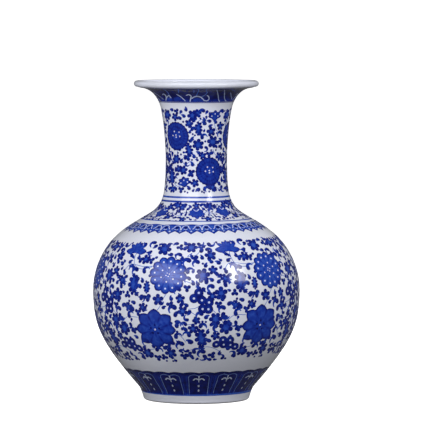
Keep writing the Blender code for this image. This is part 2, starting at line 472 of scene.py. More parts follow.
def make_foot_glaze():
    made, tree, shader = new_material("glaze_wiped_from_foot", GLAZE_ROUGHNESS)
    link = tree.links.new
    place = add(tree, "ShaderNodeTexCoord")
    split = add(tree, "ShaderNodeSeparateXYZ")
    link(place.outputs["Object"], split.inputs["Vector"])
    ragged = noise(tree, 160.0, 4.0)
    edge = add(tree, "ShaderNodeMath", operation="MULTIPLY_ADD")
    link(ragged.outputs["Fac"], edge.inputs[0])
    edge.inputs[1].default_value = -0.9 * MM
    link(split.outputs["Z"], edge.inputs[2])
    cover = add(tree, "ShaderNodeMapRange")
    link(edge.outputs[0], cover.inputs["Value"])
    cover.inputs["From Min"].default_value = GLAZE_LINE - 0.9 * MM
    cover.inputs["From Max"].default_value = GLAZE_LINE - 0.5 * MM
    grain = noise(tree, 1800.0, 4.0)
    clay = ramp(tree, [(0.35, (0.60, 0.54, 0.46, 1.0)), (0.65, (0.76, 0.71, 0.62, 1.0))])
    link(grain.outputs["Fac"], clay.inputs["Fac"])
    colour = add(tree, "ShaderNodeMix", data_type="RGBA")
    link(cover.outputs["Result"], colour.inputs["Factor"])
    link(clay.outputs["Color"], colour.inputs["A"])
    colour.inputs["B"].default_value = WHITE_BODY
    link(colour.outputs["Result"], shader.inputs["Base Color"])
    rough = add(tree, "ShaderNodeMapRange")
    link(cover.outputs["Result"], rough.inputs["Value"])
    rough.inputs["To Min"].default_value = 0.75
    rough.inputs["To Max"].default_value = GLAZE_ROUGHNESS
    link(rough.outputs["Result"], shader.inputs["Roughness"])
    bump = add(tree, "ShaderNodeBump", Strength=0.25, Distance=0.0001)
    link(grain.outputs["Fac"], bump.inputs["Height"])
    link(bump.outputs["Normal"], shader.inputs["Normal"])
    return made


def foot_line():
    top = FOOT_HEIGHT
    outer = foot_face(FOOT_ROUND_OUT, FOOT_ROUND_OUT)
    inner = foot_face(FOOT_ROUND_IN, FOOT_WALL - FOOT_ROUND_IN)
    outside = [foot_face(top - (top - FOOT_ROUND_OUT) * i / 5) for i in range(5)]
    inside = [foot_face(height, FOOT_WALL) for height in (top / 2, top - JOINT_GAP)]
    ground = list(arc(outer, FOOT_ROUND_OUT, 0.0, -90.0, 8))
    ground += list(arc(inner, FOOT_ROUND_IN, -90.0, -180.0, 5))
    return outside + ground + inside


FOOT_GLAZE = make_foot_glaze()
turned("foot_ring_turned", foot_line(), FOOT_GLAZE, "bare_foot", "foot_ring")

# %% [markdown]
# ## Slip in the joints
# Wet sections are stuck together with slip, the same clay thinned with water. Where it squeezes out on the
# inside the potter leaves a small soft ridge. These thin rings sit in the gaps of the rebates, one for each
# joint, and the bare slip is duller and warmer than the glaze.

# %% Luting slip
LUTE_SHARE = 0.30


def make_slip():
    made, tree, shader = new_material("dried_luting_slip", 0.82)
    grain = noise(tree, 1400.0, 4.0)
    tone = ramp(tree, [(0.30, (0.58, 0.53, 0.45, 1.0)), (0.70, (0.72, 0.67, 0.58, 1.0))])
    tree.links.new(grain.outputs["Fac"], tone.inputs["Fac"])
    tree.links.new(tone.outputs["Color"], shader.inputs["Base Color"])
    bump = add(tree, "ShaderNodeBump", Strength=0.5, Distance=0.0002)
    tree.links.new(grain.outputs["Fac"], bump.inputs["Height"])
    tree.links.new(bump.outputs["Normal"], shader.inputs["Normal"])
    return made


def lute_line(joint):
    """A thin film along the middle of the rebate, clear of both of its faces."""
    film = JOINT_GAP * LUTE_SHARE / 2
    low, high = joint + HALF_GAP, joint + REBATE - HALF_GAP
    stations = [low + (high - low) * i / 6 for i in range(7)]
    front = [wall(s, HALF_WALL - film) for s in reversed(stations)]
    return front + [wall(s, HALF_WALL + film) for s in stations]


def foot_lute_line():
    film = JOINT_GAP * LUTE_SHARE / 2
    level = FOOT_HEIGHT - JOINT_GAP / 2
    inner, outer = foot_face(level, FOOT_WALL - 0.6 * MM).x, foot_face(level, 0.6 * MM).x
    across = [inner + (outer - inner) * i / 4 for i in range(5)]
    return [Vector((r, level + film)) for r in across] + [Vector((r, level - film)) for r in reversed(across)]


SLIP = make_slip()
turned("foot_slip", foot_lute_line(), SLIP, "dried_slip", "foot_lute")
for joint_name, joint in (("belly", BELLY_JOINT), ("neck", NECK_JOINT), ("mouth", MOUTH_JOINT)):
    turned(joint_name + "_slip", lute_line(joint), SLIP, "dried_slip", joint_name + "_lute")

# %% [markdown]
# ## Cobalt under the glaze
# Cobalt is brushed on the raw clay and covered by the clear glaze, so the gloss is the same on blue and on
# white. A thin wash fires to a clear mid blue and a full brush to nearly black. The wash pools unevenly, so
# noise moves the tone a little, in proportion to how much cobalt there is: bare dots stay clean.

# %% Cobalt material
COBALT_TONES = [
    (0.00, WHITE_BODY),
    (0.22, (0.320, 0.440, 0.740, 1.0)),
    (0.42, (0.045, 0.130, 0.570, 1.0)),
    (0.62, (0.010, 0.044, 0.395, 1.0)),
    (0.82, (0.003, 0.012, 0.210, 1.0)),
    (1.00, (0.0015, 0.004, 0.090, 1.0)),
]


def make_cobalt():
    made, tree, shader = new_material("cobalt_under_glaze", GLAZE_ROUGHNESS)
    link = tree.links.new
    load = add(tree, "ShaderNodeAttribute", attribute_name="pigment")
    pool = noise(tree, 210.0, 4.0)
    spread = add(tree, "ShaderNodeMapRange")
    link(pool.outputs["Fac"], spread.inputs["Value"])
    spread.inputs["From Min"].default_value = 0.3
    spread.inputs["From Max"].default_value = 0.7
    spread.inputs["To Min"].default_value = 0.86
    spread.inputs["To Max"].default_value = 1.10
    amount = add(tree, "ShaderNodeMath", operation="MULTIPLY")
    link(load.outputs["Fac"], amount.inputs[0])
    link(spread.outputs["Result"], amount.inputs[1])
    tones = ramp(tree, COBALT_TONES)
    link(amount.outputs[0], tones.inputs["Fac"])
    link(tones.outputs["Color"], shader.inputs["Base Color"])
    glaze_surface(tree, shader)
    return made


COBALT = make_cobalt()
print("made", COBALT.name)

# %% [markdown]
# ## Brush strokes as small flat shapes
# Every stroke is a flat slab a tenth of a millimetre proud of the clay, drawn in millimetres with x round
# the vase and y up its wall. A motif is a few slabs, and each of its points holds its `pigment`. Slabs that
# lie over others are lifted a little more, which is how a second brush load lies over the first.

# %% Slabs, strokes and washes
SINK = 0.05
STEM_LIFT = 0.05
WASH_LIFT = 0.07
STROKE_LIFT = 0.10
DOT_LIFT = 0.14
PAPER = 0.02
MOTIFS = bpy.data.collections.new("brush_motifs")


class Motif:
    """A painted shape put together from slabs. With mirror it comes out turned over, left to right."""

    def __init__(self, mirror=False):
        self.side = -1 if mirror else 1
        self.points, self.faces, self.tones = [], [], []

    def slab(self, tops, faces, rim, tones, lift):
        base, count = len(self.points), len(tops)
        self.points += [(self.side * x, y, lift) for x, y in tops]
        self.points += [(self.side * x, y, -SINK) for x, y in tops]
        self.tones += list(tones) * 2
        after = [*rim[1:], rim[0]]
        sides = [(a, count + a, count + b, b) for a, b in zip(rim, after)]
        under = [tuple(count + i for i in reversed(face)) for face in faces]
        for face in [*faces, *sides, *under]:
            self.faces.append(tuple(base + i for i in face[:: self.side]))

    def wash(self, edge, tone, around=48, rings=(0.3, 0.6, 0.85, 1.0), lift=WASH_LIFT, place=(0.0, 0.0)):
        """A filled patch: edge(angle) is how far it reaches, tone(angle, share) its pigment."""
        tops, tones = [place], [tone(0.0, 0.0)]
        for share in rings:
            for k in range(around):
                angle = 2 * math.pi * k / around
                reach = edge(angle) * share
                tops.append((place[0] + reach * math.cos(angle), place[1] + reach * math.sin(angle)))
                tones.append(tone(angle, share))
        faces = [(0, 1 + k, 1 + (k + 1) % around) for k in range(around)]
        for ring in range(len(rings) - 1):
            inner, outer = 1 + ring * around, 1 + (ring + 1) * around
            for k in range(around):
                after = (k + 1) % around
                faces.append((inner + k, outer + k, outer + after, inner + after))
        first = 1 + (len(rings) - 1) * around
        self.slab(tops, faces, range(first, first + around), tones, lift)

    def dot(self, x, y, radius, tone=PAPER, lift=DOT_LIFT, around=8):
        tops = [(x + radius * math.cos(a), y + radius * math.sin(a)) for a in circle(around)]
        self.slab(tops, [tuple(range(around))], range(around), [tone] * around, lift)

    def stroke(self, path, width, tone, lift=STROKE_LIFT):
        """A ribbon along a path. width(share) and tone(share) run from its start to its end."""
        last = len(path) - 1
        tops, tones = [], []
        for i, (x, y) in enumerate(path):
            before, after = path[max(i - 1, 0)], path[min(i + 1, last)]
            way = Vector((after[0] - before[0], after[1] - before[1])).normalized() * width(i / last) / 2
            tops += [(x + way.y, y - way.x), (x - way.y, y + way.x)]
            tones += [tone(i / last)] * 2
        faces = [(2 * i, 2 * i + 2, 2 * i + 3, 2 * i + 1) for i in range(last)]
        rim = [*range(0, 2 * last + 1, 2), *range(2 * last + 1, 0, -2)]
        self.slab(tops, faces, rim, tones, lift)

    def done(self, name):
        mesh = bpy.data.meshes.new(name)
        mesh.from_pydata([(x * MM, y * MM, z * MM) for x, y, z in self.points], [], self.faces)
        mesh.attributes.new("pigment", "FLOAT", "POINT").data.foreach_set("value", self.tones)
        MOTIFS.objects.link(bpy.data.objects.new(name, mesh))


def circle(around, start=0.0):
    return [start + 2 * math.pi * k / around for k in range(around)]


def steady(value):
    return lambda *where: value


def lobes(*rounds):
    """The outer edge of a cluster of round lobes (x, y, radius), as seen from the middle."""

    def edge(angle):
        reach = 0.8
        for x, y, radius in rounds:
            ahead = x * math.cos(angle) + y * math.sin(angle)
            inside = radius**2 - (x * x + y * y - ahead**2)
            if inside > 0:
                reach = max(reach, ahead + math.sqrt(inside))
        return reach

    return edge


def petals(tips, valley, power=0.5):
    """The edge of a flower: tips are (degrees, reach) in rising order, valley is the depth of the notches."""

    def edge(angle):
        turn = math.degrees(angle) % 360
        ends = [(d - 360, r) for d, r in tips[-1:]] + list(tips) + [(d + 360, r) for d, r in tips[:1]]
        for (left, left_reach), (right, right_reach) in zip(ends, ends[1:]):
            if left <= turn <= right:
                share = (turn - left) / (right - left)
                reach = left_reach if share < 0.5 else right_reach
                return valley + (reach - valley) * abs(1 - 2 * share) ** power
        return valley

    return edge


# %% [markdown]
# ## The motifs of the scroll
# The scroll needs only a few shapes: a comma, a hooked curl, lobed leaves, and the flowers. The lobed leaf
# is a wash with a dark rim where the cobalt gathers. Curls come in two hands, left and right, because a
# mirrored copy has to keep its faces outward.

# %% Commas, curls and leaves
def taper(full, tail=0.5, head=0.80):
    """A stroke that starts thin and ends in a round head."""

    def width(share):
        if share < head:
            return tail + (full - tail) * (share / head) ** 1.15
        return max(0.2, full * math.sqrt(max(0.0, 1 - ((share - head) / (1 - head)) ** 2)))

    return width


def hook(reach, sweep, steps=10):
    """A path that curls clockwise over the top and ends at the origin, going down."""
    for i in range(steps + 1):
        angle = math.radians(sweep * (1 - i / steps))
        yield (reach * (math.cos(angle) - 1), reach * math.sin(angle) * 1.1)


for hand in ("left", "right"):
    mirror = hand == "left"
    comma = Motif(mirror)
    comma.stroke(list(hook(3.9, 105, 8)), taper(5.6, 1.1, 0.66), lambda share: 0.62 + 0.26 * share)
    comma.done("comma_" + hand)
    curl = Motif(mirror)
    curl.stroke(list(hook(3.6, 235, 12)), taper(5.6, 1.1, 0.78), lambda share: 0.55 + 0.35 * share)
    curl.done("curl_" + hand)


FULL_BRUSH = 0.84
BERRY_SIDES = 10


def berry_leaf(name, core, berries, mirror=False):
    """A lobed leaf: a clear wash in the middle, and a full round touch of the brush for every lobe."""
    leaf = Motif(mirror)
    leaf.wash(lobes(*core), lambda angle, share: 0.52 + 0.16 * share, 20, (0.55, 1.0))
    for x, y, radius in berries:
        leaf.dot(x, y, radius, FULL_BRUSH, STROKE_LIFT, BERRY_SIDES)
    leaf.done(name)


LONG_CORE = ((0, 0, 5.2), (0.5, 5.2, 4.0), (1.6, 8.8, 2.6), (0, -5.2, 3.8))
LONG_BERRIES = (
    (-0.9, 11.4, 2.6), (3.8, 9.4, 2.6), (-4.0, 5.9, 2.9), (4.8, 3.6, 2.9), (-5.4, -0.8, 3.0),
    (5.2, -3.0, 3.0), (-3.5, -6.8, 2.9), (3.0, -8.0, 2.8), (-0.6, -11.2, 2.4),
)


def round_berries(count, reach, radius, first=0.9):
    return [(reach * math.cos(a), reach * math.sin(a), radius) for a in circle(count, first)]


berry_leaf("long_leaf_right", LONG_CORE, LONG_BERRIES)
berry_leaf("long_leaf_left", LONG_CORE, LONG_BERRIES, mirror=True)
berry_leaf("round_leaf", [(0, 0, 6.2)], round_berries(6, 6.4, 3.1))
berry_leaf("small_leaf", [(0, 0, 3.8)], round_berries(5, 4.4, 2.5, 0.35))
berry_leaf("trefoil", [(0, 0, 2.4)], round_berries(3, 2.8, 2.3, 0.5))
berry = Motif()
berry.dot(0.0, 0.0, 1.7, FULL_BRUSH, STROKE_LIFT, BERRY_SIDES)
berry.done("berry")

# %% [markdown]
# ## The flowers
# Two large flowers take turns in the scroll: a round one like a pompom, dotted with bare clay, and a lotus
# with pointed petals. Both are washes with a darker outline. The dark lines between petals are part of the
# wash, as a function of the direction from the middle.

# %% Large flowers
def ridge(value, centre, half):
    """1 at the centre, falling to 0 at half a width away."""
    return max(0.0, 1 - abs(value - centre) / half)


def petal_lines(tips, base, line, rim):
    """Pigment of a flower: a wash, darker along the notches between its petals and at its edge."""
    notches = [(a + b) / 2 for (a, _), (b, _) in zip(tips, [*tips[1:], (tips[0][0] + 360, 0)])]

    def tone(angle, share):
        turn = math.degrees(angle)
        near = max(ridge((turn - notch + 180) % 360 - 180, 0.0, 7.0) for notch in notches)
        inner = max(ridge((turn - tip + 180) % 360 - 180, 0.0, 9.0) for tip, _ in tips)
        dark = max(near * ridge(share, 0.75, 0.45), inner * ridge(share, 0.27, 0.14), ridge(share, 1.0, 0.16))
        return base + (line - base) * dark + (rim - line) * ridge(share, 1.0, 0.11)

    return tone


LOTUS_TIPS = [
    (0, 24.3), (40, 25.5), (90, 23.8), (140, 25.5), (180, 24.3), (218, 24.8), (270, 22.8), (322, 24.8),
]
FINE_RINGS = (0.14, 0.22, 0.27, 0.34, 0.45, 0.58, 0.70, 0.80, 0.88, 0.95, 1.0)
COARSE_RINGS = (0.3, 0.55, 0.75, 0.9, 1.0)
lotus = Motif()
lotus.wash(petals(LOTUS_TIPS, 18.6, 0.7), petal_lines(LOTUS_TIPS, 0.62, 0.86, 0.97), 96, FINE_RINGS)
for angle in circle(5, 0.3):
    lotus.dot(5.2 * math.cos(angle), 5.2 * math.sin(angle), 1.3, 0.97, STROKE_LIFT)
lotus.dot(0.0, 0.0, 1.1)
lotus.done("lotus")

POMPOM_TIPS = [(d, 21.9) for d in range(15, 360, 30)]
pompom = Motif()
pompom.wash(petals(POMPOM_TIPS, 18.8, 0.55), petal_lines(POMPOM_TIPS, 0.55, 0.78, 0.93), 96, FINE_RINGS)
for count, reach, size in ((4, 2.0, 0.65), (6, 8.0, 0.9), (12, 15.6, 1.05)):
    for angle in circle(count, 0.26):
        pompom.dot(reach * math.cos(angle), reach * math.sin(angle), size)
pompom.done("pompom")

# %% [markdown]
# ## Small blossoms
# Half-open blossoms fill the edges of the field: a bell with five pointed petals at the top, and little
# flowers whose petals are outlined round a bare centre.

# %% Small blossoms
BELL_TIPS = [
    (28, 13.0), (62, 10.0), (90, 11.0), (118, 10.0), (152, 13.0), (190, 15.5), (270, 4.6), (350, 15.5),
]
bell = Motif()
bell.wash(petals(BELL_TIPS, 7.6, 0.7), petal_lines(BELL_TIPS, 0.60, 0.76, 0.90), 64, COARSE_RINGS)
bell.done("bell")


def open_blossom(name, places, size):
    """Petals outlined in dark cobalt, each round a bare spot."""
    blossom = Motif()
    for x, y in places:
        blossom.wash(steady(size), lambda angle, share: 0.70 + 0.2 * share, 14, (0.6, 1.0), place=(x, y))
        blossom.dot(x, y, size * 0.24, 0.08)
    blossom.done(name)


SIDE_HEADS = [(-8.8, 2.6), (-4.6, 9.6), (0.2, 2.2), (8.4, 1.2), (2.6, -7.2), (9.0, -6.4)]
LOW_HEADS = [(-10.5, -2.5), (-4.5, 4.0), (-2.0, -2.0), (4.0, 4.5), (6.0, -1.5), (12.0, -3.0)]
open_blossom("side_blossom", SIDE_HEADS, 5.3)
open_blossom("low_blossom", LOW_HEADS, 4.8)

# %% [markdown]
# ## Carrying the motifs round the vase
# One node tree does all the painting. It takes loose points, each with a motif, an angle, a height along
# the wall, a turn and a size. It repeats them round the vase, puts the motifs on them, and then bends
# everything onto the wall: y is looked up on the outline as arc length, and x becomes an angle at that
# radius. A painter never closes a pattern evenly, so `Drift` slides the repeats round and `Lean` lets the
# band climb a little on one side.

# %% The painting tree
def outline_object():
    line = bpy.data.curves.new("outline", "CURVE")
    line.dimensions = "3D"
    spline = line.splines.new("POLY")
    spline.points.add(len(POINTS) - 1)
    spline.points.foreach_set("co", [c for p in POINTS for c in (p.x, 0.0, p.y, 1.0)])
    return placed("outline", line)


def maths(tree):
    """A short way to write sums in a node tree: each call adds a Math node and gives its output."""

    def work(operation, first, second=0.0):
        node = tree.nodes.new("ShaderNodeMath")
        node.operation = operation
        for socket, value in zip(node.inputs, (first, second)):
            if isinstance(value, (int, float)):
                socket.default_value = value
            else:
                tree.links.new(value, socket)
        return node.outputs[0]

    return work


def named(tree, name, kind="FLOAT"):
    node = add(tree, "GeometryNodeInputNamedAttribute", data_type=kind)
    node.inputs["Name"].default_value = name
    return node.outputs["Attribute"]


def store(tree, geometry, name, value, kind="FLOAT"):
    node = add(tree, "GeometryNodeStoreNamedAttribute", data_type=kind, domain="POINT")
    node.inputs["Name"].default_value = name
    tree.links.new(geometry, node.inputs["Geometry"])
    tree.links.new(value, node.inputs["Value"])
    return node.outputs["Geometry"]


def repeat_round(tree, given, work):
    """Copies each point round the vase, with the painter's drift and lean, and stores its angle as home."""
    link = tree.links.new
    copies = add(tree, "GeometryNodeDuplicateElements", domain="POINT")
    link(given.outputs["Geometry"], copies.inputs["Geometry"])
    link(given.outputs["Repeats"], copies.inputs["Amount"])
    first = work("RADIANS", named(tree, "angle"))
    share = work("DIVIDE", copies.outputs["Duplicate Index"], given.outputs["Repeats"])
    home = work("ADD", first, work("MULTIPLY", share, 2 * math.pi))
    phase = work("RADIANS", given.outputs["Phase"])
    late = work("SINE", work("SUBTRACT", home, phase))
    early = work("SINE", work("SUBTRACT", first, phase))
    drift = work("MULTIPLY", work("RADIANS", given.outputs["Drift"]), work("SUBTRACT", late, early))
    climb = work("MULTIPLY", given.outputs["Lean"], work("SUBTRACT", work("SINE", home), work("SINE", first)))
    kept = store(tree, copies.outputs["Geometry"], "home", work("ADD", home, drift))
    height = add(tree, "ShaderNodeCombineXYZ")
    link(work("ADD", named(tree, "length"), climb), height.inputs["Y"])
    move = add(tree, "GeometryNodeSetPosition")
    link(kept, move.inputs["Geometry"])
    link(height.outputs["Vector"], move.inputs["Position"])
    return move.outputs["Geometry"]


def put_motifs(tree, given, points, work):
    link = tree.links.new
    library = add(tree, "GeometryNodeCollectionInfo", transform_space="ORIGINAL")
    library.inputs["Separate Children"].default_value = True
    library.inputs["Reset Children"].default_value = True
    link(given.outputs["Motifs"], library.inputs["Collection"])
    spin = add(tree, "ShaderNodeCombineXYZ")
    link(work("RADIANS", named(tree, "turn")), spin.inputs["Z"])
    lay = add(tree, "GeometryNodeInstanceOnPoints")
    lay.inputs["Pick Instance"].default_value = True
    link(points, lay.inputs["Points"])
    link(library.outputs["Instances"], lay.inputs["Instance"])
    link(named(tree, "kind", "INT"), lay.inputs["Instance Index"])
    link(spin.outputs["Vector"], lay.inputs["Rotation"])
    flat = add(tree, "ShaderNodeCombineXYZ", Z=1.0)
    link(named(tree, "size"), flat.inputs["X"])
    link(named(tree, "size"), flat.inputs["Y"])
    link(flat.outputs["Vector"], lay.inputs["Scale"])
    real = add(tree, "GeometryNodeRealizeInstances")
    link(lay.outputs["Instances"], real.inputs["Geometry"])
    return real.outputs["Geometry"]


def bend_onto_wall(tree, given, flat, work):
    link = tree.links.new
    place = add(tree, "ShaderNodeSeparateXYZ")
    link(add(tree, "GeometryNodeInputPosition").outputs["Position"], place.inputs["Vector"])
    outline = add(tree, "GeometryNodeObjectInfo")
    link(given.outputs["Outline"], outline.inputs["Object"])
    here = add(tree, "GeometryNodeSampleCurve", mode="LENGTH")
    link(outline.outputs["Geometry"], here.inputs["Curves"])
    link(place.outputs["Y"], here.inputs["Length"])
    point = add(tree, "ShaderNodeSeparateXYZ")
    link(here.outputs["Position"], point.inputs["Vector"])
    way = add(tree, "ShaderNodeSeparateXYZ")
    link(here.outputs["Tangent"], way.inputs["Vector"])
    out, up, lift = way.outputs["Z"], work("MULTIPLY", way.outputs["X"], -1.0), place.outputs["Z"]
    angle = work("ADD", named(tree, "home"), work("DIVIDE", place.outputs["X"], point.outputs["X"]))
    east, south = work("SINE", angle), work("MULTIPLY", work("COSINE", angle), -1.0)
    radius = work("ADD", point.outputs["X"], work("MULTIPLY", lift, out))
    facing = add(tree, "ShaderNodeCombineXYZ")
    link(work("MULTIPLY", out, east), facing.inputs["X"])
    link(work("MULTIPLY", out, south), facing.inputs["Y"])
    link(up, facing.inputs["Z"])
    bent = add(tree, "ShaderNodeCombineXYZ")
    link(work("MULTIPLY", radius, east), bent.inputs["X"])
    link(work("MULTIPLY", radius, south), bent.inputs["Y"])
    link(work("ADD", point.outputs["Z"], work("MULTIPLY", lift, up)), bent.inputs["Z"])
    faced = store(tree, flat, "facing", facing.outputs["Vector"], "FLOAT_VECTOR")
    move = add(tree, "GeometryNodeSetPosition")
    link(faced, move.inputs["Geometry"])
    link(bent.outputs["Vector"], move.inputs["Position"])
    return move.outputs["Geometry"]


def make_painting_tree():
    tree, given, result = new_tree("paint_round_the_vase", [
        ("Motifs", "NodeSocketCollection", None),
        ("Outline", "NodeSocketObject", None),
        ("Repeats", "NodeSocketInt", 1),
        ("Drift", "NodeSocketFloat", 0.0),
        ("Phase", "NodeSocketFloat", 0.0),
        ("Lean", "NodeSocketFloat", 0.0),
        ("Material", "NodeSocketMaterial", None),
    ])
    work = maths(tree)
    points = repeat_round(tree, given, work)
    bent = bend_onto_wall(tree, given, put_motifs(tree, given, points, work), work)
    finish = add(tree, "GeometryNodeSetMaterial")
    tree.links.new(bent, finish.inputs["Geometry"])
    tree.links.new(given.outputs["Material"], finish.inputs["Material"])
    tree.links.new(finish.outputs["Geometry"], result.inputs["Geometry"])
    return tree


OUTLINE = outline_object()
PAINTING = make_painting_tree()


def painted(name, layout, repeats, drift=0.0, phase=0.0, lean=0.0):
    """A painted band. layout maps each motif to its places: angle in degrees, length in mm, turn, size."""
    rows = [(kind, *place) for kind, places in layout.items() for place in places]
    rows = [(kind, angle, length, *(rest or (0.0,))) for kind, angle, length, *rest in rows]
    rows = [row if len(row) == 5 else (*row, 1.0) for row in rows]
    kinds = sorted(obj.name for obj in MOTIFS.objects)
    points = bpy.data.meshes.new(name + "_points")
    points.from_pydata([(0.0, 0.0, 0.0)] * len(rows), [], [])
    columns = {
        "kind": ("INT", [kinds.index(row[0]) for row in rows]),
        "angle": ("FLOAT", [row[1] for row in rows]),
        "length": ("FLOAT", [row[2] * MM for row in rows]),
        "turn": ("FLOAT", [row[3] for row in rows]),
        "size": ("FLOAT", [row[4] for row in rows]),
    }
    for label, (kind, values) in columns.items():
        points.attributes.new(label, kind, "POINT").data.foreach_set("value", values)
    obj = placed(name + "_points", points)
    given = {"Motifs": MOTIFS, "Outline": OUTLINE, "Repeats": repeats, "Drift": drift, "Phase": phase}
    attach(obj, PAINTING, {**given, "Lean": lean * MM, "Material": COBALT})
    mesh = plain_mesh(obj)
    facing = np.empty(len(mesh.vertices) * 3, np.float32)
    mesh.attributes["facing"].data.foreach_get("vector", facing)
    for label in [a.name for a in mesh.attributes if a.name in ("facing", "home", *columns)]:
        mesh.attributes.remove(mesh.attributes[label])
    mesh.shade_smooth()
    mesh.normals_split_custom_set_from_vertices(facing.reshape(-1, 3).tolist())
    return keep(name, mesh, "glazed_porcelain")


# %% [markdown]
# ## The field on the belly
# One sixth of the scroll is listed, and the tree repeats it six times. The two large flowers hold
# it, thin stems join them, and leaves and curls fill what is left, so that no bare patch is wider than a
# finger.

# %% The belly scroll
def smooth_path(points, steps=8):
    """A soft line through a few points, by Catmull and Rom's rule."""
    ends = [points[0], *points, points[-1]]
    for a, b, c, d in zip(ends, ends[1:], ends[2:], ends[3:]):
        for i in range(steps):
            t = i / steps
            yield tuple(
                0.5 * (2 * q + (r - p) * t + (2 * p - 5 * q + 4 * r - s) * t * t
                       + (3 * q - p - 3 * r + s) * t**3)
                for p, q, r, s in zip(a, b, c, d)
            )
    yield points[-1]


def on_wall(angle, length):
    """Where an angle and a length lie on the flat sheet whose middle is angle 0."""
    return math.radians(angle) * wall(length * MM).x / MM, length


def stems(name, lines, width=0.7, tone=0.38):
    vine = Motif()
    for line in lines:
        path = list(smooth_path([on_wall(*point) for point in line]))
        vine.stroke(path, steady(width), steady(tone), STEM_LIFT)
    vine.done(name)


stems("belly_stems", [
    [(-16, 134), (-18, 128), (-20, 119), (-23, 112)],
    [(-26, 163), (-33, 160), (-38, 164), (-40, 172), (-40, 180)],
    [(-25, 164), (-32, 163), (-41, 165), (-45, 158)],
    [(-8, 149), (0, 143), (3, 135), (5, 128)],
    [(-34, 106), (-41, 106), (-45, 100)],
    [(-11, 99), (-5, 99), (2, 101), (6, 96)],
    [(-12, 92), (-8, 84), (-6, 78)],
    [(-22, 72), (-27, 68), (-36, 66), (-42, 68)],
    [(0, 110), (-4, 116), (0, 118), (3, 122)],
    [(8, 118), (13, 108), (15, 101)],
    [(-3, 180), (-5, 176), (0, 178), (3, 184)],
    [(-6, 66), (0, 70), (8, 72), (15, 66)],
])

